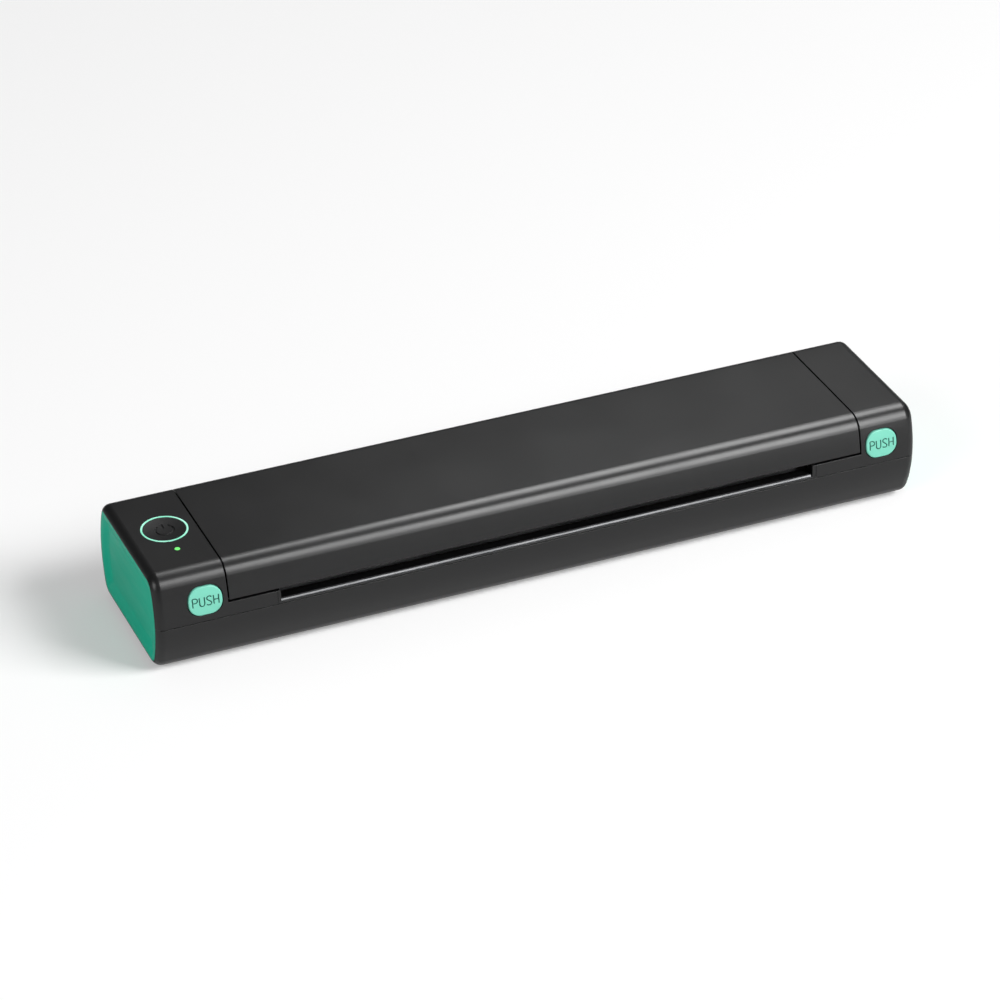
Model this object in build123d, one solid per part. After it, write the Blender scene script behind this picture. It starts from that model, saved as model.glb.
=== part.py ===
from build123d import *
from math import acos, atan2, cos, pi, radians, sin, sqrt, tan
import os

# Portable thermal printer for A4 sheets. Millimetres, +X right along the length, front towards -Y, +Z up.
# Origin: the middle of the length and of the depth, on the surface that the feet rest on.

# Casing: a long bar with bowed front and back faces, split at its widest level
casing_depth = 65.8
casing_height = 39.2
bow_radius = 42.9
front_top_radius = 6.65
back_top_radius = 4.0
bottom_radius = 6.6
end_rounding = 3.6
wall = 2.0
wall_overlap = 1.0
least_radius = 0.4
groove_height = 0.3
groove_depth = 0.5

# Feet
foot_radius = 4.5
foot_height = 1.2
foot_recess = 0.8
foot_end_inset = 19.1
foot_side_inset = 16.9

# End panels: dished plates seated on a ledge inside each end
panel_inset = 2.2
panel_fit = 0.05
panel_setback = 0.3
panel_thickness = 3.6
panel_lip = 0.6
panel_slope = 5.0
panel_dish = 1.5
panel_dish_corner = 2.5
ledge_width = 2.0
ledge_thickness = 1.6

# Cover: the hinged middle of the top, between a left and a right block of the casing
left_block_length = 28.3
right_block_length = 24.1
seam_gap = 0.6
cover_edge_rise = 6.4
block_edge_rise = 5.4
cover_end_wall = 2.0

# Cover hinge: a rolled edge along the back that turns on a pin at each end
hinge_clearance = 0.35
hinge_pin_radius = 1.0
hinge_pin_length = 11.0
hinge_pin_depth = 6.0
hinge_boss_radius = 2.8
beam_drop = 5.0
pin_fit = 0.02
running_fit = 0.05

# Paper path, measured from the level where the two shells meet
slot_left_margin = 19.9
slot_right_margin = 20.8
slot_length = 217.1
paper_rise = 3.9
guide_drop = 0.6
inlet_height = 4.6
bezel_side = 1.1
bezel_right_side = 1.45
bezel_floor = 0.55
bezel_depth = 5.2
bezel_fit = 0.15
tear_bar_thickness = 1.0
tear_bar_depth = 5.0
tear_bar_setback = 0.5
tear_bar_edge = 0.3
tear_bar_bevel = 0.8

# Platen roller, carried by the cover
platen_setback = 13.35
platen_radius = 5.0
platen_core_radius = 2.5
platen_journal_radius = 2.0
platen_end_gap = 0.4
nip_gap = 0.3
bracket_gap = 1.5
bracket_thickness = 2.0
bracket_width = 11.0
bracket_drop = 3.9
bracket_flange_length = 8.0
bracket_flange_setback = 7.0
bracket_flange_depth = 10.0
bracket_flange_thickness = 1.5
bracket_boss_height = 3.7
bushing_radius = 3.4
bushing_flange_radius = 4.4
bushing_flange = 0.8
left_journal_overhang = 2.2
clip_thickness = 0.6
clip_radius = 3.4
clip_groove_depth = 0.5
clip_mouth = 2.4

# Gear train between the motor and the platen
gear_module = 0.5
pressure_angle = radians(20)
addendum_factor = 0.8
dedendum_factor = 1.1
gear_backlash = 0.08
flank_points = 5
platen_teeth = 24
idler_teeth = 26
small_teeth = 18
large_teeth = 32
pinion_teeth = 14
idler_direction = radians(-55)
compound_direction = radians(-30)
pinion_direction = radians(-8)
gear_width = 3.2
gear_gap = 0.5
large_gear_width = 2.8
gear_plate_gap = 0.6
gear_plate_thickness = 1.2
gear_plate_front = 8.0
gear_plate_back = 12.6
gear_plate_lift = 2.4
gear_plate_top_drop = 9.6
gear_post_radius = 1.5
idler_shoulder_radius = 2.2
compound_shoulder_radius = 2.6
gear_clip_radius = 2.6
gear_foot_length = 5.6
gear_foot_width = 12.0
gear_foot_screw_inset = 2.5

# Stepper motor on the gear plate
motor_radius = 7.5
motor_length = 14.6
motor_shaft_radius = 1.0
motor_hole_gap = 1.6
motor_ear_reach = 10.0
motor_ear_radius = 2.3
motor_ear_thickness = 1.0
motor_shaft_depth = 10.0

# Print head, pressed up against the platen
bead_height = 0.5
bead_width = 1.6
ceramic_thickness = 1.6
ceramic_front = 3.6
ceramic_back = 6.4
ceramic_margin = 0.6
head_end_margin = 1.2
driver_height = 1.0
driver_width = 3.0
head_plate_thickness = 2.8
head_plate_front = 5.6
head_pivot_setback = 15.0
head_pivot_drop = 3.9
head_pivot_radius = 1.5
head_ear_radius = 3.2
head_ear_thickness = 2.0
pivot_post_width = 7.0
pivot_post_crown = 1.0
pivot_post_gap = 0.4
pivot_post_thickness = 2.2
head_spring_share = 0.33
head_spring_radius = 2.5
head_spring_wire = 0.5
head_spring_turns = 5
head_spring_seat_height = 5.0
head_spring_seat_radius = 3.6

# Paper guides
guide_thickness = 1.5
guide_front_gap = 8.0
guide_back_gap = 3.2
guide_lead_radius = 1.0
liner_thickness = 1.5
liner_front_gap = 7.5
liner_back_gap = 9.0
liner_end_gap = 1.0
liner_boss_radius = 2.8
screw_seat_thickness = 0.5
post_radius = 3.0
guide_post_setback = 6.0
guide_post_shift = 6.0

# Buttons that free the cover, one on each block
push_offset = 8.9
push_rise = 8.15
push_width = 13.0
push_height = 10.8
push_corner = 4.8
push_gap = 0.4
push_proud = 0.4
push_flange_margin = 1.0
push_flange_front = 4.95
push_flange_thickness = 1.4
push_plunger_width = 4.0
push_plunger_height = 1.0
push_plunger_gap = 0.4
letter_height = 3.4
letter_width = 1.9
letter_pitch = 2.7
letter_stroke = 0.45
letter_depth = 0.25

# Latches: a rocker behind each button, with a hook over a ledge of the cover
latch_setback = 10.15
latch_rise = 0.95
latch_shaft_radius = 1.5
latch_arm_width = 5.0
latch_arm_thickness = 2.0
latch_arm_top = 9.6
latch_block_end = 11.4
latch_saddle_thickness = 1.2
latch_saddle_wall = 1.9
latch_saddle_rise = 0.8
latch_hook_gap = 1.6
latch_hook_width = 3.4
latch_hook_top = 9.8
latch_nose_height = 1.5
latch_nose_reach = 2.8
latch_notch_gap = 0.8
ledge_clearance = 0.2
catch_height = 1.4
catch_length = 5.4
catch_reach = 8.0
latch_spring_radius = 1.8
latch_spring_wire = 0.4
latch_spring_turns = 4
latch_spring_length = 5.2
spring_wall_thickness = 1.4
spring_wall_width = 6.0

# Power button, its light ring and the status light
power_inset = 16.25
power_setback = 35.05
ring_radius = 8.8
ring_inner_radius = 8.15
ring_height = 2.5
ring_flange = 0.7
ring_flange_thickness = 0.8
ring_proud = 0.1
power_fit = 0.1
power_flange = 0.6
power_flange_thickness = 1.0
power_flange_gap = 0.3
power_dish = 0.5
power_travel = 0.6
power_plunger_radius = 1.6
power_plunger_gap = 0.1
symbol_radius = 3.4
symbol_stroke = 0.7
symbol_depth = 0.3
symbol_gap_angle = 70.0
symbol_stem_start = 1.2
symbol_stem = 2.9
lens_setback = 20.65
lens_radius = 1.0
lens_flange_radius = 1.7
lens_flange_thickness = 0.8
lens_led_gap = 0.3

# Boards and what they carry
board_thickness = 1.6
control_drop = 7.2
control_front = 16.0
control_back_gap = 3.15
control_width = 18.6
control_boss_radius = 2.2
switch_size = 6.0
switch_height = 1.8
switch_body_height = 0.9
led_size = 1.6
led_height = 0.8
main_board_left_gap = 3.1
main_board_right_gap = 4.2
main_board_back_gap = 6.4
main_board_depth = 24.0
main_board_lift = 4.0
main_board_margin = 3.2
port_y = 4.0
port_height = 13.0
port_width = 8.94
port_thickness = 3.26
port_length = 7.3
port_wall = 0.3
port_gap = 0.3
port_board_length = 11.0
port_board_depth = 20.0
reset_offset = 9.0
reset_radius = 0.8
battery_depth = 20.0
battery_height = 13.0
battery_left_gap = 2.0
battery_right_gap = 4.0
battery_back_gap = 10.5
battery_radius = 2.0
sensor_width = 6.0
sensor_depth = 8.0
sensor_height = 4.0
sensor_window = 5.0
sensor_y = 8.0
sensor_x = -20.0
flex_inset = 20.0
flex_width = 40.0
flex_setback = 2.5
flex_thickness = 0.4
flex_gap = 0.4
flex_connector_height = 3.0
flex_connector_depth = 4.0

# On the main board: each chip's middle as a share of the board's length, its front, length, depth and height,
# and each capacitor's share and middle
main_board_chips = (
    (0.12, 14.0, 7.0, 7.0, 1.0),
    (0.28, 13.0, 10.0, 10.0, 1.2),
    (0.42, 16.0, 6.0, 4.0, 0.9),
    (0.50, 14.0, 2.0, 1.2, 0.8),
    (0.54, 14.0, 2.0, 1.2, 0.8),
    (0.58, 14.0, 2.0, 1.2, 0.8),
    (0.70, 9.0, 8.0, 8.0, 3.0),
    (0.88, 14.0, 12.0, 5.0, 4.0),
)
capacitor_places = ((0.70, 4.5), (0.78, 20.5))
capacitor_radius = 2.5
capacitor_height = 7.0

# Fasteners
screw_radius = 1.1
screw_head_radius = 2.0
screw_head_height = 1.2
screw_fit = 0.02
screw_clearance = 0.25
screw_slot_width = 0.5
screw_slot_depth = 0.6
thread_length = 6.0
pilot_spare = 2.0
short_screw_length = 4.0
foot_screw_length = 3.0
boss_radius = 3.3
boss_inset = 7.3
boss_front_setback = 14.35
boss_back_gap = 11.9
counterbore_depth = 11.0
head_clearance = 0.4

# Levels and places worked out from the sizes above
slot_end_length = left_block_length + slot_left_margin
casing_length = slot_end_length + slot_length + slot_right_margin + right_block_length
half_length = casing_length / 2
half_depth = casing_depth / 2
casing_bottom = foot_height
casing_top = foot_height + casing_height
parting_z = casing_bottom + casing_height / 2
floor_z = casing_bottom + wall
ceiling_z = casing_top - wall
beyond = casing_length

block_left_x = -half_length + left_block_length - seam_gap / 2
block_right_x = half_length - right_block_length + seam_gap / 2
cover_left_x = block_left_x + seam_gap
cover_right_x = block_right_x - seam_gap
cover_edge_z = parting_z + cover_edge_rise
block_edge_z = parting_z + block_edge_rise
ledge_start = half_length - panel_setback - panel_thickness
ledge_end = ledge_start - ledge_thickness

slot_left_x = -half_length + slot_end_length
slot_right_x = slot_left_x + slot_length
paper_z = parting_z + paper_rise
guide_top_z = paper_z - guide_drop
guide_bottom_z = guide_top_z - guide_thickness
inlet_bottom_z = guide_top_z - guide_drop / 2
inlet_top_z = inlet_bottom_z + inlet_height
liner_bottom_z = inlet_top_z
liner_top_z = liner_bottom_z + liner_thickness
bezel_left_x = slot_left_x - bezel_side
bezel_right_x = slot_right_x + bezel_right_side
slot_middle_x = (slot_left_x + slot_right_x) / 2
foot_x = half_length - foot_end_inset
foot_y = half_depth - foot_side_inset
boss_front_y = -half_depth + boss_front_setback
boss_back_y = half_depth - boss_back_gap

platen_y = -half_depth + platen_setback
platen_z = paper_z + platen_radius
bracket_left_x = slot_left_x - bracket_gap - bracket_thickness
bracket_right_x = slot_right_x + bracket_gap
gear_plane_x = bracket_right_x + bracket_thickness + bushing_flange + gear_gap
large_plane_x = gear_plane_x + gear_width + gear_gap
gear_plate_x = large_plane_x + large_gear_width + gear_plate_gap
motor_face_x = gear_plate_x + gear_plate_thickness

head_top_z = paper_z - nip_gap
ceramic_top_z = head_top_z - bead_height
ceramic_bottom_z = ceramic_top_z - ceramic_thickness
head_bottom_z = ceramic_bottom_z - head_plate_thickness
head_pivot_y = platen_y + head_pivot_setback
head_pivot_z = head_bottom_z - head_pivot_drop + head_plate_thickness
head_left_x = slot_left_x - head_end_margin
head_spring_x = [slot_middle_x + step * head_spring_share * slot_length for step in (-1, 0, 1)]
head_right_x = slot_right_x - platen_end_gap + head_end_margin

push_z = parting_z + push_rise
push_flange_y = -half_depth + push_flange_front
push_plunger_end = -half_depth + latch_setback - latch_arm_thickness / 2 - push_plunger_gap
latch_y = -half_depth + latch_setback
latch_z = parting_z + latch_rise
hook_top_z = latch_z + latch_hook_top
hook_bottom_z = hook_top_z - latch_nose_height
catch_top_z = hook_bottom_z - ledge_clearance

power_x = -half_length + power_inset
power_y = -half_depth + power_setback
lens_x = power_x
lens_y = -half_depth + lens_setback
power_flange_top_z = casing_top - ring_height - power_flange_gap
power_flange_bottom_z = power_flange_top_z - power_flange_thickness
control_top_z = casing_top - control_drop
control_bottom_z = control_top_z - board_thickness
power_plunger_end_z = control_top_z + switch_height + power_travel + power_plunger_gap

guide_post_x = (slot_left_x + post_radius, slot_middle_x - guide_post_shift, slot_right_x - post_radius)
battery_left = guide_post_x[0] + post_radius + battery_left_gap
battery_right = guide_post_x[1] - post_radius - battery_right_gap
battery_back = half_depth - battery_back_gap
main_board_left = guide_post_x[1] + post_radius + main_board_left_gap
main_board_right = guide_post_x[2] - post_radius - main_board_right_gap
main_board_front = half_depth - main_board_back_gap - main_board_depth
main_board_z = floor_z + main_board_lift
main_board_top_z = main_board_z + board_thickness
port_z = casing_bottom + port_height
port_board_z = port_z - port_thickness / 2 - board_thickness


def span(middle, width):
    """Low and high limit of a width about its middle."""
    return (middle - width / 2, middle + width / 2)


def block(x_range, y_range, z_range):
    """Box between a low and a high limit along each axis."""
    limits = (x_range, y_range, z_range)
    size = [max(limit) - min(limit) for limit in limits]
    middle = [sum(limit) / 2 for limit in limits]
    return Pos(*middle) * Box(*size)


def rod_x(x_range, y, z, radius):
    """Round bar along X."""
    length = max(x_range) - min(x_range)
    return Pos(sum(x_range) / 2, y, z) * Rot(0, 90, 0) * Cylinder(radius, length)


def rod_z(x, y, z_range, radius):
    """Round bar along Z."""
    length = max(z_range) - min(z_range)
    return Pos(x, y, sum(z_range) / 2) * Cylinder(radius, length)


def prism_x(points, x_range):
    """Solid with a straight-sided outline in the YZ plane, between two places along X."""
    start = min(x_range)
    outline = Polyline(*[(start, y, z) for y, z in points], close=True)
    return extrude(Face(Wire(outline.edges())), max(x_range) - start, dir=(1, 0, 0))


def corner_arc(side, level, radius, inset):
    """Centre, tangent angle and the three points of one rounded corner of the cross-section.

    side is +1 at the back and -1 at the front; level is +1 at the top and -1 at the bottom.
    """
    rise = casing_height / 2 - inset - radius
    run = sqrt((bow_radius - inset - radius) ** 2 - rise**2)
    centre = half_depth - bow_radius + run
    tangent = atan2(rise, run)
    angles = (tangent, (tangent + pi / 2) / 2, pi / 2)
    points = [
        (side * (centre + radius * cos(angle)), parting_z + level * (rise + radius * sin(angle)))
        for angle in angles
    ]
    return (side * centre, parting_z + level * rise), points


def section_face(inset, x, least=least_radius):
    """Face of the casing's cross-section at x, shrunk by inset, with no corner under the least radius."""
    front_top = corner_arc(-1, 1, max(front_top_radius - inset, least), inset)[1]
    front_bottom = corner_arc(-1, -1, max(bottom_radius - inset, least), inset)[1]
    back_top = corner_arc(1, 1, max(back_top_radius - inset, least), inset)[1]
    back_bottom = corner_arc(1, -1, max(bottom_radius - inset, least), inset)[1]
    bow = half_depth - inset

    def at(point):
        return (x, point[0], point[1])

    def arc(start, middle, end):
        return ThreePointArc(at(start), at(middle), at(end))

    edges = [
        arc(*front_bottom),
        arc(front_bottom[0], (-bow, parting_z), front_top[0]),
        arc(*front_top),
        Line(at(front_top[2]), at(back_top[2])),
        arc(*back_top),
        arc(back_top[0], (bow, parting_z), back_bottom[0]),
        arc(*back_bottom),
        Line(at(back_bottom[2]), at(front_bottom[2])),
    ]
    return Face(Wire(edges))


def section_solid(inset, x_range):
    """The casing's cross-section, shrunk by inset, drawn out between two places along X."""
    start = min(x_range)
    return extrude(section_face(inset, start), max(x_range) - start, dir=(1, 0, 0))


def casing_blank():
    """Outer shape of the closed casing, with rounded ends."""
    blank = section_solid(0, (-half_length, half_length))
    ends = [edge for edge in blank.edges() if abs(edge.center().X) > half_length - least_radius]
    return fillet(ends, end_rounding)


def casing_cavity():
    """Everything hollow inside the casing: the middle, the ledges' openings and the panels' seats."""
    cavity = section_solid(wall, (-ledge_end, ledge_end))
    cavity += section_solid(panel_inset + ledge_width, (-half_length, half_length))
    for side in (-1, 1):
        cavity += section_solid(panel_inset, (side * ledge_start, side * (half_length + end_rounding)))
    return cavity


def level_band(z_range):
    """Slice of space between two levels, wider than the casing."""
    return block((-beyond, beyond), (-beyond, beyond), z_range)


def block_spans():
    """For each block: its side, the wall that faces the cover, and the button's middle along X."""
    left = (-1, (block_left_x - wall, block_left_x), -half_length + left_block_length - push_offset)
    right = (1, (block_right_x, block_right_x + wall), half_length - right_block_length + push_offset)
    return (left, right)


def casing_screw_places():
    """Middle of each of the screws that hold the two shells together."""
    edge = half_length - boss_inset
    return [(x, y) for x in (-edge, edge) for y in (boss_front_y, boss_back_y)]


def guide_post_places():
    """Middle of each post under the lower paper guide."""
    rows = (head_pivot_y + guide_post_setback, guide_back_y() - post_radius)
    return [(x, y) for x in guide_post_x for y in rows]


def guide_back_y():
    """Back edge of the lower paper guide, just inside the back wall."""
    return half_depth - guide_back_gap


def main_board_corners():
    """Middle of each screw of the main board."""
    left = main_board_left + main_board_margin
    right = main_board_right - main_board_margin
    front = main_board_front + main_board_margin
    back = main_board_front + main_board_depth - main_board_margin
    return [(x, y) for x in (left, right) for y in (front, back)]


def port_board_range():
    """Front and back of the charging port's board."""
    return span(port_y, port_board_depth)


def port_board_corners():
    """Middle of each screw of the charging port's board."""
    low, high = port_board_range()
    x = ledge_end - port_board_length / 2
    return [(x, low + main_board_margin), (x, high - main_board_margin)]


def control_board_range():
    """X and Y limits of the control board under the power button."""
    back = boss_back_y - boss_radius - control_back_gap
    return span(power_x, control_width), (power_y - control_front, back)


def control_boss_places():
    """Middle of each boss that the control board hangs from."""
    x_range, y_range = control_board_range()
    inner = control_boss_radius
    return [
        (x_range[0] + inner, y_range[0] + inner),
        (x_range[0] + inner, y_range[1] - inner),
        (x_range[1] - inner, y_range[1] - inner),
    ]


def gear_foot_places():
    """Middle of each screw in the gear plate's foot."""
    x = motor_face_x + gear_foot_length / 2
    front = gear_plate_range()[0]
    return [(x, front + gear_foot_screw_inset), (x, front + gear_foot_width - gear_foot_screw_inset)]


def point_from(start, distance, angle):
    """Point at a distance from another in the YZ plane."""
    return (start[0] + distance * cos(angle), start[1] + distance * sin(angle))


def gear_centres():
    """Axis of the platen gear, the idler, the compound gear and the motor pinion, as (y, z)."""
    platen = (platen_y, platen_z)
    idler = point_from(platen, gear_module * (platen_teeth + idler_teeth) / 2, idler_direction)
    compound = point_from(idler, gear_module * (idler_teeth + small_teeth) / 2, compound_direction)
    pinion = point_from(compound, gear_module * (large_teeth + pinion_teeth) / 2, pinion_direction)
    return platen, idler, compound, pinion


def gear_plate_range():
    """Front and back edge of the gear plate."""
    centres = gear_centres()
    return (centres[1][0] - gear_plate_front, centres[3][0] + gear_plate_back)


def meshed_phase(phase, teeth, mate_teeth, direction):
    """Angle of the first tooth of a gear that meshes with one whose first tooth stands at phase."""
    return direction + pi - (pi - teeth * (direction - phase)) / mate_teeth


def gear_phases():
    """Angle of the first tooth of the platen gear, idler, small gear, large gear and pinion."""
    platen = 0.0
    idler = meshed_phase(platen, platen_teeth, idler_teeth, idler_direction)
    small = meshed_phase(idler, idler_teeth, small_teeth, compound_direction)
    large = 0.0
    pinion = meshed_phase(large, large_teeth, pinion_teeth, pinion_direction)
    return platen, idler, small, large, pinion


def gear(teeth, phase, centre, x_range):
    """Involute spur gear along X, with slightly short teeth."""
    pitch_radius = gear_module * teeth / 2
    base_radius = pitch_radius * cos(pressure_angle)
    tip_radius = pitch_radius + addendum_factor * gear_module
    root_radius = pitch_radius - dedendum_factor * gear_module
    half_tooth = pi / (2 * teeth) - gear_backlash / (2 * pitch_radius)
    pitch_involute = tan(pressure_angle) - pressure_angle

    def half_angle(radius):
        roll = acos(min(base_radius / radius, 1.0))
        return half_tooth + pitch_involute - (tan(roll) - roll)

    first = max(base_radius, root_radius)
    radii = [first + (tip_radius - first) * step / (flank_points - 1) for step in range(flank_points)]
    if root_radius < base_radius:
        radii = [root_radius] + radii
    points = []
    for tooth in range(teeth):
        middle = phase + 2 * pi * tooth / teeth
        for radius in radii:
            points.append((radius, middle - half_angle(radius)))
        for radius in reversed(radii):
            points.append((radius, middle + half_angle(radius)))
    return prism_x([point_from(centre, radius, angle) for radius, angle in points], x_range)


def clip(x, y, z, groove_radius, radius):
    """Retaining clip in a shaft's groove: a thin ring with a mouth below, between x and its thickness on."""
    x_range = (x, x + clip_thickness)
    ring = rod_x(x_range, y, z, radius) - rod_x(x_range, y, z, groove_radius + pin_fit)
    return ring - block(x_range, span(y, clip_mouth), (z - radius, z))


def screw(x, y, seat_z, length, way):
    """Slotted screw along Z. seat_z is under its head, and way is +1 where its shank points up."""
    tip_z = seat_z + way * length
    top_z = seat_z - way * screw_head_height
    body = rod_z(x, y, (seat_z, tip_z), screw_radius) + rod_z(x, y, (seat_z, top_z), screw_head_radius)
    slot_z = (top_z, top_z + way * screw_slot_depth)
    return body - block(span(x, beyond), span(y, screw_slot_width), slot_z)


def pilot_hole(x, y, z_range):
    """Hole that a screw bites into."""
    return rod_z(x, y, z_range, screw_radius + screw_fit)


def clear_hole(x, y, z_range):
    """Hole that a screw passes through."""
    return rod_z(x, y, z_range, screw_radius + screw_clearance)


def coil(radius, wire, turns, length):
    """Compression spring along Z from the origin, with its wire inside the given length."""
    rise = length - wire
    path = Pos(0, 0, wire / 2) * Helix(rise / turns, rise, radius)
    start = path @ 0
    circle = Plane(origin=start, x_dir=(0, 0, 1), z_dir=path % 0) * Circle(wire / 2)
    return sweep(circle, path=path, is_frenet=True)


def inside(part):
    """The share of a post or rib that stays within the casing's walls."""
    return part & section_solid(wall_overlap, (-ledge_start, ledge_start))


def as_group(pieces):
    """Separate solids in one node."""
    solids = [solid for piece in pieces for solid in piece.solids()]
    return Compound(children=solids)


def hinge_axis():
    """The cover's hinge axis, at the middle of the back top corner's rounding."""
    return corner_arc(1, 1, back_top_radius, 0)[0]


def lower_shell():
    """Tray with the posts, saddles and bosses that carry the works."""
    shell = casing_blank() & level_band((casing_bottom, parting_z))
    shell -= casing_cavity()
    rim = casing_blank() & level_band((parting_z - groove_height, parting_z))
    inner_rim = section_solid(groove_depth, (-half_length + groove_depth, half_length - groove_depth))
    shell -= rim - inner_rim

    screwed_posts = [(place, parting_z, boss_radius) for place in casing_screw_places()]
    screwed_posts += [(place, guide_bottom_z, post_radius) for place in guide_post_places()]
    screwed_posts += [(place, main_board_z, post_radius) for place in main_board_corners()]
    screwed_posts += [(place, port_board_z, post_radius) for place in port_board_corners()]
    screwed_posts += [(place, floor_z + gear_plate_lift, post_radius) for place in gear_foot_places()]
    for (x, y), top, radius in screwed_posts:
        shell += inside(rod_z(x, y, (floor_z, top), radius))
        shell -= pilot_hole(x, y, (max(floor_z, top - thread_length), top))
    for x in head_spring_x:
        shell += rod_z(x, platen_y, (floor_z, floor_z + head_spring_seat_height), head_spring_seat_radius)
    shell += head_pivot_posts()
    for side, block_wall, push_x in block_spans():
        for x_range in latch_saddle_ranges(side, block_wall):
            shell += latch_saddle(x_range)

    for x, y in casing_screw_places():
        counterbore_z = (casing_bottom, casing_bottom + counterbore_depth)
        shell -= rod_z(x, y, counterbore_z, screw_head_radius + head_clearance)
        shell -= clear_hole(x, y, (casing_bottom, parting_z))
    for x, y in foot_places():
        shell -= rod_z(x, y, (casing_bottom, casing_bottom + foot_recess), foot_radius + running_fit)
    return shell


def head_pivot_posts():
    """Two posts that hold the ends of the print head's pivot shaft."""
    posts = Part()
    for x_range in head_post_ranges():
        top = head_pivot_z + head_pivot_radius + pivot_post_crown
        posts += block(x_range, span(head_pivot_y, pivot_post_width), (floor_z, top))
        posts -= rod_x(x_range, head_pivot_y, head_pivot_z, head_pivot_radius + pin_fit)
    return posts


def head_post_ranges():
    """X limits of the left and the right pivot post."""
    left = head_left_x - pivot_post_gap
    right = head_right_x + pivot_post_gap
    return ((left - pivot_post_thickness, left), (right, right + pivot_post_thickness))


def latch_saddle_ranges(side, block_wall):
    """X limits of the two saddles that a latch turns in, at its outer end and beside the block's wall."""
    outer = side * (half_length - latch_block_end)
    inner = block_wall[1] if side < 0 else block_wall[0]
    inner_low = inner + (latch_notch_gap if side < 0 else -latch_notch_gap - latch_saddle_thickness)
    return ((outer, outer - side * latch_saddle_thickness), (inner_low, inner_low + latch_saddle_thickness))


def latch_saddle(x_range):
    """Post with an open round seat for a latch's shaft."""
    seat = latch_shaft_radius + running_fit
    top = latch_z + latch_saddle_rise
    post = block(x_range, span(latch_y, 2 * (seat + latch_saddle_wall)), (floor_z, top))
    post -= rod_x(x_range, latch_y, latch_z, seat)
    return post - block(x_range, span(latch_y, 2 * seat), (latch_z, top))


def upper_shell():
    """The two end blocks, joined by the beam along the back."""
    shell = casing_blank() & level_band((parting_z, casing_top))
    shell -= casing_cavity()
    middle = (block_left_x, block_right_x)
    hinge_y, hinge_z = hinge_axis()
    for side, block_wall, push_x in block_spans():
        shell += section_solid(wall_overlap, block_wall) & level_band((parting_z, casing_top))
    shell -= block(middle, (-beyond, hinge_y - back_top_radius), (block_edge_z, casing_top))
    shell -= block(middle, (hinge_y - back_top_radius, beyond), (casing_top - beam_drop, casing_top))
    shell -= rod_x(middle, hinge_y, hinge_z, back_top_radius + hinge_clearance)
    bezel_x = (bezel_left_x - bezel_fit, bezel_right_x + bezel_fit)
    shell -= block(bezel_x, (-beyond, -half_depth + bezel_depth), (parting_z, block_edge_z))
    shell -= block((slot_left_x, slot_right_x), (0, beyond), (inlet_bottom_z, inlet_top_z))

    for side, block_wall, push_x in block_spans():
        inner = block_wall[0] if side < 0 else block_wall[1]
        boss_x = (inner, inner + side * (hinge_pin_length - hinge_pin_depth - wall))
        shell += inside(rod_x(boss_x, hinge_y, hinge_z, hinge_boss_radius))
        shell -= rod_x(hinge_pin_range(side), hinge_y, hinge_z, hinge_pin_radius + pin_fit)
        shell += spring_wall(push_x)
        notch = latch_shaft_radius + latch_notch_gap
        shell -= block(block_wall, span(latch_y, 2 * notch), (parting_z, latch_z + notch))
        shell -= push_prism(push_x, push_gap, (-beyond, latch_y))
    for x, y in casing_screw_places():
        shell += inside(rod_z(x, y, (parting_z, ceiling_z), boss_radius))
        shell -= pilot_hole(x, y, (parting_z, parting_z + thread_length + pilot_spare))

    shell -= rod_z(power_x, power_y, (ceiling_z, casing_top), ring_radius + running_fit)
    shell -= rod_z(lens_x, lens_y, (ceiling_z, casing_top), lens_radius + running_fit)
    for x, y in control_boss_places():
        shell += rod_z(x, y, (control_top_z, ceiling_z), control_boss_radius)
        shell -= pilot_hole(x, y, (control_top_z, control_top_z + short_screw_length))
    return shell


def spring_wall(push_x):
    """Wall behind a latch that its spring pushes against."""
    front = latch_y + latch_arm_thickness / 2 + latch_spring_length
    low = push_z - latch_spring_radius - latch_spring_wire
    return block(span(push_x, spring_wall_width), (front, front + spring_wall_thickness), (low, ceiling_z))


def hinge_pin_range(side):
    """X limits of the hinge pin on one side."""
    end = cover_left_x + hinge_pin_depth if side < 0 else cover_right_x - hinge_pin_depth
    return (end, end + side * hinge_pin_length)


def hinge_pins():
    """Steel pins that the cover turns on."""
    hinge_y, hinge_z = hinge_axis()
    return as_group([rod_x(hinge_pin_range(side), hinge_y, hinge_z, hinge_pin_radius) for side in (-1, 1)])


def liner_boss_places():
    """Middle of each boss that the upper paper guide hangs from."""
    front, back = liner_range()
    left = slot_left_x + liner_boss_radius
    right = slot_right_x - liner_boss_radius
    middle = (left + right) / 2
    inner = liner_boss_radius
    return [(x, y) for x in (left, middle, right) for y in (front + inner, back - inner)]


def liner_range():
    """Front and back edge of the upper paper guide."""
    return (platen_y + liner_front_gap, half_depth - liner_back_gap)


def bracket_flange_range(side):
    """X limits of the fixing flange of one platen bracket, on the side away from the roller's rubber."""
    if side < 0:
        return (bracket_left_x - bracket_flange_length, bracket_left_x)
    return (bracket_right_x, bracket_right_x + bracket_flange_length)


def bracket_boss_places():
    """Middle of each boss that a platen bracket is screwed to."""
    places = []
    for side in (-1, 1):
        x = sum(bracket_flange_range(side)) / 2
        for step in (1, 3):
            places.append((x, platen_y + bracket_flange_setback + step * bracket_flange_depth / 4))
    return places


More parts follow.
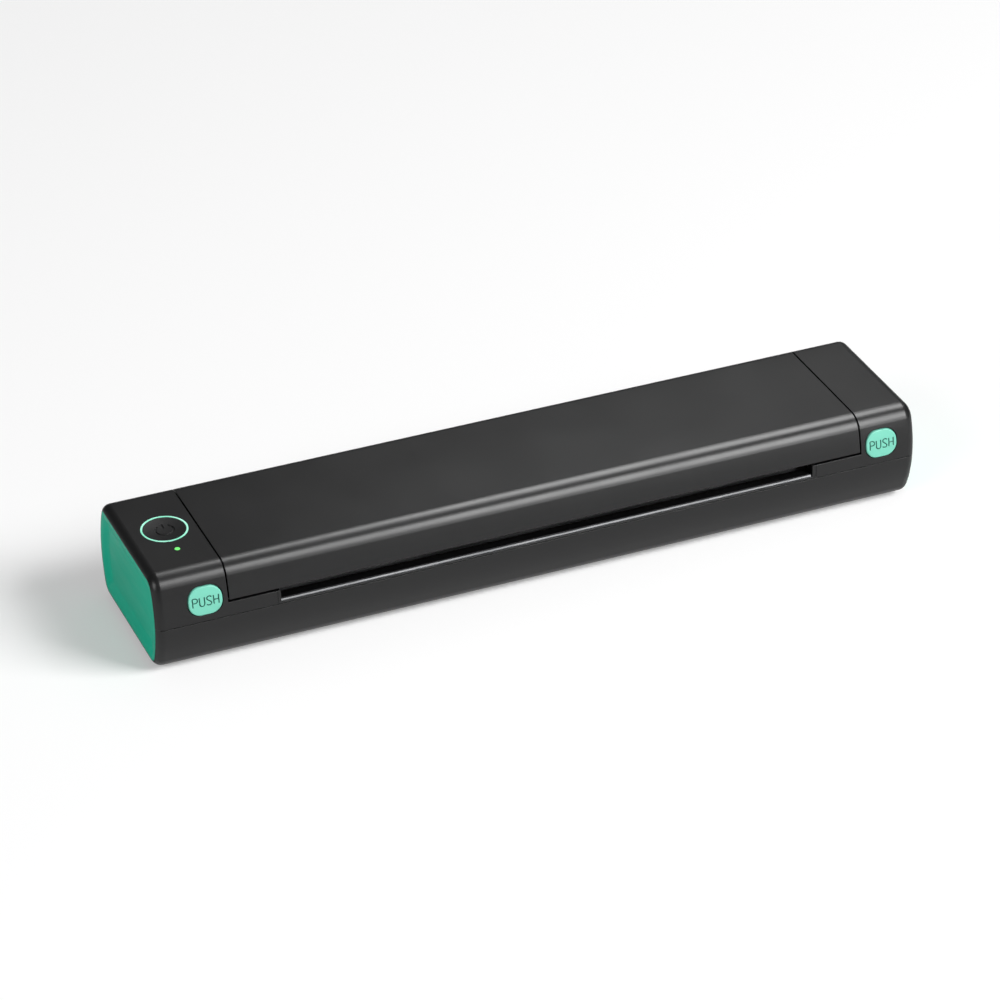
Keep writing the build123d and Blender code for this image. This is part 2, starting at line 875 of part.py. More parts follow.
def cover():
    """The hinged top: a shell with end walls, a rolled back edge and a catch at each end."""
    x_span = (cover_left_x, cover_right_x)
    hinge_y, hinge_z = hinge_axis()
    shell = section_solid(0, x_span) & block(x_span, (-beyond, hinge_y), (cover_edge_z, casing_top))
    shell -= section_solid(wall, (cover_left_x + cover_end_wall, cover_right_x - cover_end_wall))
    shell += rod_x(x_span, hinge_y, hinge_z, back_top_radius)
    for x, y in liner_boss_places():
        shell += rod_z(x, y, (liner_top_z, ceiling_z), liner_boss_radius)
        shell -= pilot_hole(x, y, (liner_top_z, liner_top_z + thread_length))
    for x, y in bracket_boss_places():
        shell += rod_z(x, y, (ceiling_z - bracket_boss_height, ceiling_z), liner_boss_radius)
        shell -= pilot_hole(x, y, (ceiling_z - bracket_boss_height, ceiling_z))
    for side in (-1, 1):
        end = cover_left_x if side < 0 else cover_right_x
        x_range = (end, end - side * (cover_end_wall + catch_length))
        y_range = (-half_depth, -half_depth + catch_reach)
        catch = block(x_range, y_range, (catch_top_z - catch_height, catch_top_z))
        shell += catch & section_solid(wall_overlap, x_range)
        pin_range = (end, end - side * (hinge_pin_depth + running_fit))
        shell -= rod_x(pin_range, hinge_y, hinge_z, hinge_pin_radius + running_fit)
    return shell


def cover_liner():
    """Upper paper guide, hung from the cover, with a raised lead-in along its back edge."""
    front, back = liner_range()
    x_range = (slot_left_x - liner_end_gap, slot_right_x + platen_end_gap)
    plate = block(x_range, (front, back), (liner_bottom_z, liner_top_z))
    lead = plate.edges().filter_by(Axis.X).sort_by(Axis.Z)[:2]
    plate = fillet(lead, guide_lead_radius)
    for x, y in liner_boss_places():
        plate -= clear_hole(x, y, (liner_bottom_z, liner_top_z))
        plate -= rod_z(x, y, (liner_bottom_z, liner_seat_z()), screw_head_radius + screw_clearance)
    return plate


def liner_screws():
    """Screws up through the upper paper guide."""
    return as_group([screw(x, y, liner_seat_z(), short_screw_length, 1) for x, y in liner_boss_places()])


def liner_seat_z():
    """Level of the seat under each liner screw's head."""
    return liner_top_z - screw_seat_thickness


def platen_brackets():
    """Angle plates inside the cover that carry the platen's bushings."""
    brackets = []
    top = ceiling_z - bracket_boss_height
    y_range = span(platen_y, bracket_width)
    for side in (-1, 1):
        x = bracket_left_x if side < 0 else bracket_right_x
        plate_range = (x, x + bracket_thickness)
        plate = block(plate_range, y_range, (platen_z - bracket_drop, top))
        corners = plate.edges().filter_by(Axis.X).sort_by(Axis.Z)[:2]
        plate = fillet(corners, bracket_drop / 2)
        flange_z = (top - bracket_flange_thickness, top)
        flange_x = bracket_flange_range(side)
        flange_back = platen_y + bracket_flange_setback + bracket_flange_depth
        plate += block(plate_range, (platen_y, flange_back), (platen_z, top))
        plate += block(flange_x, (platen_y + bracket_flange_setback, flange_back), flange_z)
        plate -= rod_x(plate_range, platen_y, platen_z, bushing_radius + pin_fit)
        brackets.append(plate)
    group = as_group(brackets)
    for x, y in bracket_boss_places():
        group -= clear_hole(x, y, (top - bracket_flange_thickness, top))
    return group


def bracket_screws():
    """Screws up through the platen brackets."""
    seat = ceiling_z - bracket_boss_height - bracket_flange_thickness
    return as_group([screw(x, y, seat, short_screw_length, 1) for x, y in bracket_boss_places()])


def platen_bushings():
    """Flanged bushings that the platen's journals turn in, with their flanges away from the rubber."""
    bushings = []
    for side in (-1, 1):
        x = bracket_left_x if side < 0 else bracket_right_x
        face = x if side < 0 else x + bracket_thickness
        bushing = rod_x((x, x + bracket_thickness), platen_y, platen_z, bushing_radius)
        flange = (face, face + side * bushing_flange)
        bushing += rod_x(flange, platen_y, platen_z, bushing_flange_radius)
        bore = (min((x,) + flange), max((x + bracket_thickness,) + flange))
        bushing -= rod_x(bore, platen_y, platen_z, platen_journal_radius + running_fit)
        bushings.append(bushing)
    return as_group(bushings)


def platen_ends():
    """X of the left end, the core's two shoulders and the right end of the platen's shaft."""
    shoulder_left = slot_left_x + platen_end_gap - bracket_gap / 2
    shoulder_right = slot_right_x - platen_end_gap + bracket_gap / 2
    left = bracket_left_x - bushing_flange - clip_thickness - left_journal_overhang
    right = gear_plane_x + gear_width + clip_thickness * 2
    return left, shoulder_left, shoulder_right, right


def platen_clip_places():
    """X of the low face of the clip at each end of the platen."""
    left = bracket_left_x - bushing_flange - gear_gap / 2 - clip_thickness
    return (left, gear_plane_x + gear_width)


def platen_shaft():
    """Steel shaft of the roller, with a journal and a clip groove at each end."""
    left, shoulder_left, shoulder_right, right = platen_ends()
    shaft = rod_x((shoulder_left, shoulder_right), platen_y, platen_z, platen_core_radius)
    shaft += rod_x((left, right), platen_y, platen_z, platen_journal_radius)
    for x in platen_clip_places():
        groove = (x, x + clip_thickness)
        ring = rod_x(groove, platen_y, platen_z, platen_core_radius)
        shaft -= ring - rod_x(groove, platen_y, platen_z, platen_journal_radius - clip_groove_depth)
    return shaft


def platen_rubber():
    """Rubber sleeve that drives the sheet."""
    x_range = (slot_left_x + platen_end_gap, slot_right_x - platen_end_gap)
    sleeve = rod_x(x_range, platen_y, platen_z, platen_radius)
    return sleeve - rod_x(x_range, platen_y, platen_z, platen_core_radius + pin_fit)


def platen_gear():
    """Gear on the right end of the platen."""
    centre = gear_centres()[0]
    x_range = (gear_plane_x, gear_plane_x + gear_width)
    wheel = gear(platen_teeth, gear_phases()[0], centre, x_range)
    return wheel - rod_x(x_range, centre[0], centre[1], platen_journal_radius + pin_fit)


def platen_clips():
    """Retaining clips on the platen's shaft."""
    groove = platen_journal_radius - clip_groove_depth
    return as_group([clip(x, platen_y, platen_z, groove, clip_radius) for x in platen_clip_places()])


def idler_gear():
    """Wheel between the compound gear and the platen gear."""
    centre = gear_centres()[1]
    x_range = (gear_plane_x, gear_plane_x + gear_width)
    wheel = gear(idler_teeth, gear_phases()[1], centre, x_range)
    return wheel - rod_x(x_range, centre[0], centre[1], gear_post_radius + running_fit)


def compound_gear():
    """Small and large wheel in one piece."""
    centre = gear_centres()[2]
    small_range = (gear_plane_x, large_plane_x)
    large_range = (large_plane_x, large_plane_x + large_gear_width)
    wheel = gear(small_teeth, gear_phases()[2], centre, small_range)
    wheel += gear(large_teeth, gear_phases()[3], centre, large_range)
    bore = (small_range[0], large_range[1])
    return wheel - rod_x(bore, centre[0], centre[1], gear_post_radius + running_fit)


def gear_clip_x():
    """X of the low face of the clips on the gear posts."""
    return gear_plane_x - gear_gap / 2 - clip_thickness


def gear_plate():
    """Side plate with the posts of the idler and the compound gear, and a foot on the floor."""
    front, back = gear_plate_range()
    low = floor_z + gear_plate_lift
    high = platen_z - gear_plate_top_drop + gear_post_radius
    plate = block((gear_plate_x, motor_face_x), (front, back), (low, high))
    foot_x_range = (gear_plate_x, motor_face_x + gear_foot_length)
    foot_z = (low, low + gear_plate_thickness)
    plate += block(foot_x_range, (front, front + gear_foot_width), foot_z)
    shoulders = (
        (gear_plane_x + gear_width + gear_gap / 2, idler_shoulder_radius),
        (large_plane_x + large_gear_width + gear_gap / 2, compound_shoulder_radius),
    )
    for centre, (shoulder_x, shoulder_radius) in zip(gear_centres()[1:3], shoulders):
        end = gear_clip_x() - gear_gap / 2
        plate += rod_x((end, gear_plate_x), centre[0], centre[1], gear_post_radius)
        plate += rod_x((shoulder_x, gear_plate_x), centre[0], centre[1], shoulder_radius)
        groove = (gear_clip_x(), gear_clip_x() + clip_thickness)
        ring = rod_x(groove, centre[0], centre[1], gear_clip_radius)
        plate -= ring - rod_x(groove, centre[0], centre[1], gear_post_radius - clip_groove_depth)
    motor_y, motor_z = gear_centres()[3]
    plate -= rod_x((gear_plate_x, motor_face_x), motor_y, motor_z, motor_shaft_radius + motor_hole_gap)
    for side in (-1, 1):
        y = motor_y + side * motor_ear_reach
        plate -= rod_x((gear_plate_x, motor_face_x), y, motor_z, screw_radius + screw_fit)
    for x, y in gear_foot_places():
        plate -= clear_hole(x, y, foot_z)
    return plate


def gear_clips():
    """Retaining clips on the gear posts."""
    groove = gear_post_radius - clip_groove_depth
    return as_group([clip(gear_clip_x(), y, z, groove, gear_clip_radius) for y, z in gear_centres()[1:3]])


def gear_plate_screws():
    """Screws down through the gear plate's foot."""
    seat = floor_z + gear_plate_lift + gear_plate_thickness
    return as_group([screw(x, y, seat, foot_screw_length, -1) for x, y in gear_foot_places()])


def stepper_motor():
    """Round stepper motor with two ears against the gear plate."""
    y, z = gear_centres()[3]
    can = rod_x((motor_face_x, motor_face_x + motor_length), y, z, motor_radius)
    ear_range = (motor_face_x, motor_face_x + motor_ear_thickness)
    ears = block(ear_range, span(y, 2 * motor_ear_reach), span(z, 2 * motor_ear_radius))
    for side in (-1, 1):
        ears += rod_x(ear_range, y + side * motor_ear_reach, z, motor_ear_radius)
    for side in (-1, 1):
        ears -= rod_x(ear_range, y + side * motor_ear_reach, z, screw_radius + screw_clearance)
    shaft_hole = (motor_face_x, motor_face_x + motor_shaft_depth)
    return can + ears - rod_x(shaft_hole, y, z, motor_shaft_radius + running_fit)


def motor_shaft():
    """Shaft of the motor's rotor."""
    y, z = gear_centres()[3]
    return rod_x((large_plane_x, motor_face_x + motor_shaft_depth - gear_gap), y, z, motor_shaft_radius)


def motor_pinion():
    """Pinion pressed on the motor's shaft."""
    y, z = gear_centres()[3]
    x_range = (large_plane_x, large_plane_x + large_gear_width)
    wheel = gear(pinion_teeth, gear_phases()[4], (y, z), x_range)
    return wheel - rod_x(x_range, y, z, motor_shaft_radius + pin_fit)


def motor_screws():
    """Screws through the motor's ears into the gear plate."""
    y, z = gear_centres()[3]
    seat = motor_face_x + motor_ear_thickness
    screws = []
    for side in (-1, 1):
        ear_y = y + side * motor_ear_reach
        shank = rod_x((gear_plate_x, seat), ear_y, z, screw_radius)
        head = rod_x((seat, seat + screw_head_height), ear_y, z, screw_head_radius)
        slot_x = (seat + screw_head_height - screw_slot_depth, seat + screw_head_height)
        slot_y = span(ear_y, 2 * screw_head_radius)
        screws.append(shank + head - block(slot_x, slot_y, span(z, screw_slot_width)))
    return as_group(screws)


def head_heatsink():
    """Aluminium plate under the print head, with an ear at each end for the pivot shaft."""
    front = platen_y - head_plate_front
    back = head_pivot_y - head_ear_radius
    x_range = (head_left_x, head_right_x)
    plate = block(x_range, (front, back), (head_bottom_z, ceramic_bottom_z))
    for end, side in ((head_left_x, 1), (head_right_x, -1)):
        ear_range = (end, end + side * head_ear_thickness)
        plate += rod_x(ear_range, head_pivot_y, head_pivot_z, head_ear_radius)
        web_y = (back - head_ear_radius, head_pivot_y)
        plate += block(ear_range, web_y, (head_pivot_z, ceramic_bottom_z))
    plate -= rod_x(x_range, head_pivot_y, head_pivot_z, head_pivot_radius + running_fit)
    return plate


def print_head():
    """Ceramic strip with the raised line of heaters under the platen and the driver chips behind it."""
    x_range = (head_left_x + ceramic_margin, head_right_x - ceramic_margin)
    back = platen_y + ceramic_back
    strip = block(x_range, (platen_y - ceramic_front, back), (ceramic_bottom_z, ceramic_top_z))
    bead_radius = (bead_height**2 + (bead_width / 2) ** 2) / (2 * bead_height)
    bead = rod_x(x_range, platen_y, head_top_z - bead_radius, bead_radius)
    strip += bead & block(x_range, span(platen_y, 2 * bead_width), (ceramic_bottom_z, head_top_z))
    driver_z = (ceramic_top_z, ceramic_top_z + driver_height)
    return strip + block(x_range, (back - driver_width, back), driver_z)


def head_pivot_shaft():
    """Steel shaft along the back of the print head, fixed in the two posts."""
    left, right = head_post_ranges()
    return rod_x((left[0], right[1]), head_pivot_y, head_pivot_z, head_pivot_radius)


def head_springs():
    """Springs that press the print head up."""
    bottom = floor_z + head_spring_seat_height
    spring = coil(head_spring_radius, head_spring_wire, head_spring_turns, head_bottom_z - bottom)
    return as_group([Pos(x, platen_y, bottom) * spring for x in head_spring_x])


def head_flex():
    """Flat cable that rises from its connector on the main board to the underside of the print head."""
    x_range = (main_board_left + flex_inset, main_board_left + flex_inset + flex_width)
    back = main_board_front + flex_connector_depth
    low = main_board_top_z
    connector = block(x_range, (main_board_front, back), (low, low + flex_connector_height))
    knee_y = head_pivot_y - head_ear_radius - flex_setback
    run_z = low + flex_connector_height - flex_thickness
    cable = block(x_range, (knee_y, main_board_front), (run_z, run_z + flex_thickness))
    riser = block(x_range, (knee_y, knee_y + flex_thickness), (run_z, head_bottom_z - flex_gap))
    return connector + cable + riser


def paper_guide():
    """Lower paper guide between the inlet and the print head."""
    x_range = (slot_left_x, slot_right_x)
    y_range = (platen_y + guide_front_gap, guide_back_y())
    plate = block(x_range, y_range, (guide_bottom_z, guide_top_z))
    edges = plate.edges().filter_by(Axis.X).sort_by(Axis.Z)[-2:]
    plate = fillet(edges, guide_lead_radius)
    for x, y in guide_post_places():
        plate -= clear_hole(x, y, (guide_bottom_z, guide_top_z))
        plate -= rod_z(x, y, (guide_seat_z(), guide_top_z), screw_head_radius + screw_clearance)
    window = (span(sensor_x, sensor_window), span(sensor_y, sensor_window))
    return plate - block(*window, (guide_bottom_z, guide_top_z))


def guide_seat_z():
    """Level of the seat under each guide screw's head."""
    return guide_bottom_z + screw_seat_thickness


def guide_screws():
    """Screws down through the lower paper guide."""
    return as_group([screw(x, y, guide_seat_z(), short_screw_length, -1) for x, y in guide_post_places()])


def paper_sensor():
    """Light sensor under the window of the lower paper guide."""
    z_range = (guide_bottom_z - sensor_height, guide_bottom_z)
    return block(span(sensor_x, sensor_width), span(sensor_y, sensor_depth), z_range)


def exit_bezel():
    """U-shaped frame round the sides and the floor of the exit slot."""
    back = -half_depth + bezel_depth - bezel_fit
    x_range = (bezel_left_x, bezel_right_x)
    frame = section_solid(0, x_range) & block(x_range, (-beyond, back), (parting_z, block_edge_z))
    slot_floor = parting_z + bezel_floor
    return frame - block((slot_left_x, slot_right_x), (-beyond, beyond), (slot_floor, block_edge_z))


def tear_bar():
    """Steel strip with a bevelled front edge, on the floor of the exit slot."""
    front = -half_depth + tear_bar_setback
    back = front + tear_bar_depth
    low = parting_z + bezel_floor
    high = low + tear_bar_thickness
    nose = [(front, low), (front, low + tear_bar_edge), (front + tear_bar_bevel, high)]
    return prism_x([*nose, (back, high), (back, low)], (slot_left_x + pin_fit, slot_right_x - pin_fit))


def end_panel(side):
    """Dished plate that closes one end of the casing."""
    outer = half_length - panel_setback
    plate = section_solid(panel_inset + panel_fit, (outer - panel_thickness, outer))
    mouth = section_face(panel_inset + panel_lip, outer)
    hollow = section_face(panel_inset + panel_lip + panel_slope, outer - panel_dish, panel_dish_corner)
    plate -= loft([mouth, hollow])
    if side < 0:
        return mirror(plate, Plane.YZ)
    opening = Plane((outer - panel_thickness, port_y, port_z), x_dir=(0, 1, 0), z_dir=(1, 0, 0))
    slot = RectangleRounded(port_width + 2 * port_gap, port_thickness + 2 * port_gap, port_thickness / 2)
    plate -= extrude(opening * slot, panel_thickness)
    return plate - rod_x((outer - panel_thickness, outer), port_y + reset_offset, port_z, reset_radius)


def push_prism(push_x, margin, y_range):
    """Rounded block through the front wall, as large as a button's face and its margin."""
    plane = Plane((push_x, max(y_range), push_z), x_dir=(1, 0, 0), z_dir=(0, -1, 0))
    outline = RectangleRounded(push_width + 2 * margin, push_height + 2 * margin, push_corner + margin)
    return extrude(plane * outline, max(y_range) - min(y_range))


def letter_strokes():
    """The word PUSH as lines and arcs, centred on the origin."""
    w, h = letter_width, letter_height
    bowl = h / 4
    lean = w / 4
    stem = Line((0, 0), (0, h))
    p_bars = [Line((0, h), (w - bowl, h)), Line((0, h / 2), (w - bowl, h / 2))]
    letter_p = [stem, *p_bars, ThreePointArc((w - bowl, h), (w, h - bowl), (w - bowl, h / 2))]
    u_sides = [Line((0, h), (0, w / 2)), Line((w, h), (w, w / 2))]
    letter_u = [*u_sides, ThreePointArc((0, w / 2), (w / 2, 0), (w, w / 2))]
    letter_s = [
        ThreePointArc((w, h - bowl / 2), (w / 2, h), (0, h - bowl)),
        ThreePointArc((0, h - bowl), (lean, h - bowl - lean), (w / 2, h / 2)),
        ThreePointArc((w / 2, h / 2), (w - lean, bowl + lean), (w, bowl)),
        ThreePointArc((w, bowl), (w / 2, 0), (0, bowl / 2)),
    ]
    letter_h = [stem, Line((w, 0), (w, h)), Line((0, h / 2), (w, h / 2))]
    word = (letter_p, letter_u, letter_s, letter_h)
    left = -((len(word) - 1) * letter_pitch + w) / 2
    strokes = Sketch()
    for place, letter in enumerate(word):
        for line in letter:
            strokes += Pos(left + place * letter_pitch, -h / 2) * trace(line, letter_stroke)
    return strokes


def push_button(push_x):
    """Button with its face bowed like the casing, a flange behind the wall and a plunger to the latch."""
    flange_range = (push_flange_y, push_flange_y + push_flange_thickness)
    cap = push_prism(push_x, 0, (-half_depth - wall, push_flange_y))
    cap &= section_solid(-push_proud, span(push_x, 2 * push_width))
    outer_edges = cap.faces().sort_by(Axis.Y)[0].edges()
    cap = fillet(outer_edges, push_proud)
    flange_height = push_height + 2 * push_flange_margin
    button = cap + block(span(push_x, push_width), flange_range, span(push_z, flange_height))
    plunger_y = (flange_range[1], push_plunger_end)
    button += block(span(push_x, push_plunger_width), plunger_y, span(push_z, push_plunger_height))
    plane = Plane((push_x, -half_depth + wall, push_z), x_dir=(1, 0, 0), z_dir=(0, -1, 0))
    letters = extrude(plane * letter_strokes(), wall * 2)
    letters -= section_solid(letter_depth - push_proud, span(push_x, 2 * push_width))
    return button - letters


def latch(side, push_x):
    """Rocker with an arm behind its button and a hook over the cover's catch."""
    outer = side * (half_length - latch_block_end)
    end_wall = cover_left_x + cover_end_wall if side < 0 else cover_right_x - cover_end_wall
    hook_outer = end_wall - side * latch_hook_gap
    hook_range = (hook_outer, hook_outer - side * latch_hook_width)
    arm = latch_arm_thickness / 2
    rocker = rod_x((outer, hook_range[1]), latch_y, latch_z, latch_shaft_radius)
    arm_y = span(latch_y, latch_arm_thickness)
    rocker += block(span(push_x, latch_arm_width), arm_y, (latch_z, latch_z + latch_arm_top))
    hook = block(hook_range, arm_y, (latch_z, hook_top_z))
    hook += block(hook_range, (latch_y - arm - latch_nose_reach, latch_y), (hook_bottom_z, hook_top_z))
    return rocker + hook


def latch_spring(push_x):
    """Spring between a latch's arm and the wall behind it."""
    start = latch_y + latch_arm_thickness / 2
    spring = coil(latch_spring_radius, latch_spring_wire, latch_spring_turns, latch_spring_length)
    return Pos(push_x, start, push_z) * Rot(-90, 0, 0) * spring


def power_light_ring():
    """Translucent ring round the power button, with a flange under the casing's top."""
    top = casing_top + ring_proud
    ring = rod_z(power_x, power_y, (casing_top - ring_height, top), ring_radius)
    flange_z = (ceiling_z - ring_flange_thickness, ceiling_z)
    ring += rod_z(power_x, power_y, flange_z, ring_radius + ring_flange)
    return ring - rod_z(power_x, power_y, (power_flange_bottom_z, top), ring_inner_radius)


def power_button():
    """Dished round button with a power symbol sunk into its face."""
    radius = ring_inner_radius - power_fit
    cap = rod_z(power_x, power_y, (power_flange_bottom_z, casing_top), radius)
    flange_z = (power_flange_bottom_z, power_flange_top_z)
    cap += rod_z(power_x, power_y, flange_z, ring_inner_radius + power_flange)
    bowl_radius = (radius**2 + power_dish**2) / (2 * power_dish)
    cap -= Pos(power_x, power_y, casing_top - power_dish + bowl_radius) * Sphere(bowl_radius)
    cap += rod_z(power_x, power_y, (power_plunger_end_z, power_flange_bottom_z), power_plunger_radius)
    arc = CenterArc((0, 0), symbol_radius, 90 + symbol_gap_angle / 2, 360 - symbol_gap_angle)
    stem = Line((0, symbol_stem_start), (0, symbol_stem_start + symbol_stem))
    symbol = trace(arc, symbol_stroke) + trace(stem, symbol_stroke)
    low = casing_top - power_dish - symbol_depth
    sunk = Pos(power_x, power_y, low + bowl_radius) * Sphere(bowl_radius)
    return cap - (extrude(Pos(power_x, power_y, low) * symbol, symbol_depth + power_dish) & sunk)


def status_lens():
    """Small clear rod that leads the status light to the top."""
    low = control_top_z + led_height + lens_led_gap
    lens = rod_z(lens_x, lens_y, (low, casing_top), lens_radius)
    return lens + rod_z(lens_x, lens_y, (ceiling_z - lens_flange_thickness, ceiling_z), lens_flange_radius)


def control_board():
    """Board under the power button, hung from bosses in the left block."""
    x_range, y_range = control_board_range()
    board = block(x_range, y_range, (control_bottom_z, control_top_z))
    for x, y in control_boss_places():
        board -= clear_hole(x, y, (control_bottom_z, control_top_z))
    return board


def power_switch():
    """Push switch under the power button's plunger."""
    body_z = (control_top_z, control_top_z + switch_body_height)
    body = block(span(power_x, switch_size), span(power_y, switch_size), body_z)
    stem_z = (control_top_z, control_top_z + switch_height)
    return body + rod_z(power_x, power_y, stem_z, power_plunger_radius)


def status_led():
    """Light under the status lens, on the control board."""
    return block(span(lens_x, led_size), span(lens_y, led_size), (control_top_z, control_top_z + led_height))


def main_board():
    """Main board on four posts of the floor."""
    y_range = (main_board_front, main_board_front + main_board_depth)
    board = block((main_board_left, main_board_right), y_range, (main_board_z, main_board_top_z))
    for x, y in main_board_corners():
        board -= clear_hole(x, y, (main_board_z, main_board_top_z))
    return board


def board_components():
    """Chips, coils, capacitors and connectors on the main board."""
    pieces = []
    board_length = main_board_right - main_board_left
    for share, front, length, depth, height in main_board_chips:
        x_range = span(main_board_left + share * board_length, length)
        y_range = (main_board_front + front, main_board_front + front + depth)
        pieces.append(block(x_range, y_range, (main_board_top_z, main_board_top_z + height)))
    for share, front in capacitor_places:
        x = main_board_left + share * board_length
        z_range = (main_board_top_z, main_board_top_z + capacitor_height)
        pieces.append(rod_z(x, main_board_front + front, z_range, capacitor_radius))
    return as_group(pieces)


def board_screws():
    """Screws of the main board, the port board and the control board."""
    screws = [screw(x, y, main_board_top_z, short_screw_length, -1) for x, y in main_board_corners()]
    port_seat = port_board_z + board_thickness
    screws += [screw(x, y, port_seat, short_screw_length, -1) for x, y in port_board_corners()]
    screws += [screw(x, y, control_bottom_z, short_screw_length, 1) for x, y in control_boss_places()]
    return as_group(screws)


def port_board():
    """Small board under the charging port."""
    x_range = (ledge_end - port_board_length, ledge_end - panel_fit)
    board = block(x_range, port_board_range(), (port_board_z, port_board_z + board_thickness))
    for x, y in port_board_corners():
        board -= clear_hole(x, y, (port_board_z, port_board_z + board_thickness))
    return board


def charging_port():
    """Shell of the charging socket, open towards the right end, with its tongue."""
    end = half_length - panel_setback - panel_dish
    plane = Plane((end, port_y, port_z), x_dir=(0, 1, 0), z_dir=(-1, 0, 0))
    outer = RectangleRounded(port_width, port_thickness, port_thickness / 2 - panel_fit)
    inner_thickness = port_thickness - 2 * port_wall
    inner = RectangleRounded(port_width - 2 * port_wall, inner_thickness, inner_thickness / 2 - panel_fit)
    shell = extrude(plane * outer, port_length) - extrude(plane * inner, port_length - port_wall)
    tongue = Rectangle(port_width * 0.75, port_wall * 2)
    tongue_plane = Plane((end - port_wall, port_y, port_z), x_dir=(0, 1, 0), z_dir=(-1, 0, 0))
    return shell + extrude(tongue_plane * tongue, port_length - port_wall)


def battery_pack():
    """Flat rechargeable pack on the floor, on the left."""
    y_range = (battery_back - battery_depth, battery_back)
    pack = block((battery_left, battery_right), y_range, (floor_z, floor_z + battery_height))
    return fillet(pack.edges().filter_by(Axis.X), battery_radius)


def rubber_feet():
    """Four round feet in recesses of the underside."""
    return as_group([rod_z(x, y, (0, foot_height + foot_recess), foot_radius) for x, y in foot_places()])


def foot_places():
    """Middle of each foot."""
    return [(x, y) for x in (-foot_x, foot_x) for y in (-foot_y, foot_y)]


def housing_screws():
    """Long screws up through the lower shell into the upper shell."""
    seat = casing_bottom + counterbore_depth
    length = parting_z + thread_length - seat
    return as_group([screw(x, y, seat, length, 1) for x, y in casing_screw_places()])


def all_parts():
    """Every sub-part by its name."""
    left, right = block_spans()
    return {
        "lower_shell": lower_shell(),
        "upper_shell": upper_shell(),
        "cover": cover(),
        "end_panel_left": end_panel(-1),
        "end_panel_right": end_panel(1),
        "exit_bezel": exit_bezel(),
        "tear_bar": tear_bar(),
        "rubber_feet": rubber_feet(),
        "housing_screws": housing_screws(),
        "hinge_pins": hinge_pins(),
        "cover_liner": cover_liner(),
        "liner_screws": liner_screws(),
        "platen_brackets": platen_brackets(),
        "bracket_screws": bracket_screws(),
        "platen_bushings": platen_bushings(),
        "platen_shaft": platen_shaft(),
        "platen_rubber": platen_rubber(),
        "platen_gear": platen_gear(),
        "platen_clips": platen_clips(),
        "idler_gear": idler_gear(),
        "compound_gear": compound_gear(),
        "gear_plate": gear_plate(),
        "gear_clips": gear_clips(),
        "gear_plate_screws": gear_plate_screws(),
        "stepper_motor": stepper_motor(),
        "motor_shaft": motor_shaft(),
        "motor_pinion": motor_pinion(),
        "motor_screws": motor_screws(),
        "head_heatsink": head_heatsink(),
        "print_head": print_head(),
        "head_pivot_shaft": head_pivot_shaft(),
        "head_springs": head_springs(),
        "head_flex": head_flex(),
        "paper_guide": paper_guide(),
        "guide_screws": guide_screws(),
        "paper_sensor": paper_sensor(),
        "push_button_left": push_button(left[2]),
        "push_button_right": push_button(right[2]),
        "latch_left": latch(left[0], left[2]),
        "latch_right": latch(right[0], right[2]),
        "latch_spring_left": latch_spring(left[2]),
        "latch_spring_right": latch_spring(right[2]),
        "power_button": power_button(),
        "power_light_ring": power_light_ring(),
        "status_lens": status_lens(),
        "control_board": control_board(),
        "power_switch": power_switch(),
        "status_led": status_led(),
        "main_board": main_board(),
        "board_components": board_components(),
        "board_screws": board_screws(),
        "port_board": port_board(),
        "charging_port": charging_port(),
        "battery_pack": battery_pack(),
    }


os.makedirs("parts", exist_ok=True)
for name, part in all_parts().items():
    export_step(part, f"parts/{name}.step")
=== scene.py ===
import math

import bmesh
import bpy
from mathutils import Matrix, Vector


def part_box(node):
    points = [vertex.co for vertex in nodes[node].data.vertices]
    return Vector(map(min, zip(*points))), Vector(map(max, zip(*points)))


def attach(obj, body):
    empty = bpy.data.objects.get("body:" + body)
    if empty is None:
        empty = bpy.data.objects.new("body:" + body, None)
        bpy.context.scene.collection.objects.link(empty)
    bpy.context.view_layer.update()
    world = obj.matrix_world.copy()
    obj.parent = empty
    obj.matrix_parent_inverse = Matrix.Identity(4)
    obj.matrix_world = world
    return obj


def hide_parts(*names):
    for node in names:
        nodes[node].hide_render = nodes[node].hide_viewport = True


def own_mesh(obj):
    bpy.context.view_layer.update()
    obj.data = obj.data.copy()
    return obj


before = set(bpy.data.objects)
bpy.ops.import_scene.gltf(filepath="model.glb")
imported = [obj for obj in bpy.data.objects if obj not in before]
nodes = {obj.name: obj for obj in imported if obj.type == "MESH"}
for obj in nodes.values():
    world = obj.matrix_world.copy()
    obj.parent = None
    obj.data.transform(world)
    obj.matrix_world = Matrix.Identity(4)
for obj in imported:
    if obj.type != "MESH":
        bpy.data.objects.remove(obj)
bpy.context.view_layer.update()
mm = 0.001
white = (1.0, 1.0, 1.0, 1.0)


# Material helpers

bevelSamples = 6
mixColours = (6, 7)  # where a Mix node keeps its two colour inputs
mixResult = 2  # and its colour output


def fromSrgb(colour):
    # 0 to 255 per channel, as a colour picker shows it, to the linear values the shader takes
    linear = []
    for channel in colour:
        share = channel / 255
        linear.append(share / 12.92 if share <= 0.04045 else ((share + 0.055) / 1.055) ** 2.4)
    return (*linear, 1.0)


def scaled(colour, share):
    return tuple(round(channel * share) for channel in colour)


def startMaterial(name, look):
    material = bpy.data.materials.new(name)
    material.use_nodes = True
    tree = material.node_tree
    shader = tree.nodes["Principled BSDF"]
    shader.inputs["Base Color"].default_value = fromSrgb(look["colour"])
    shader.inputs["Roughness"].default_value = look["roughness"]
    shader.inputs["Metallic"].default_value = look.get("metallic", 0.0)
    shader.inputs["Specular IOR Level"].default_value = look.get("specular", 0.5)
    place = tree.nodes.new("ShaderNodeTexCoord").outputs["Object"]
    return material, tree, shader, place


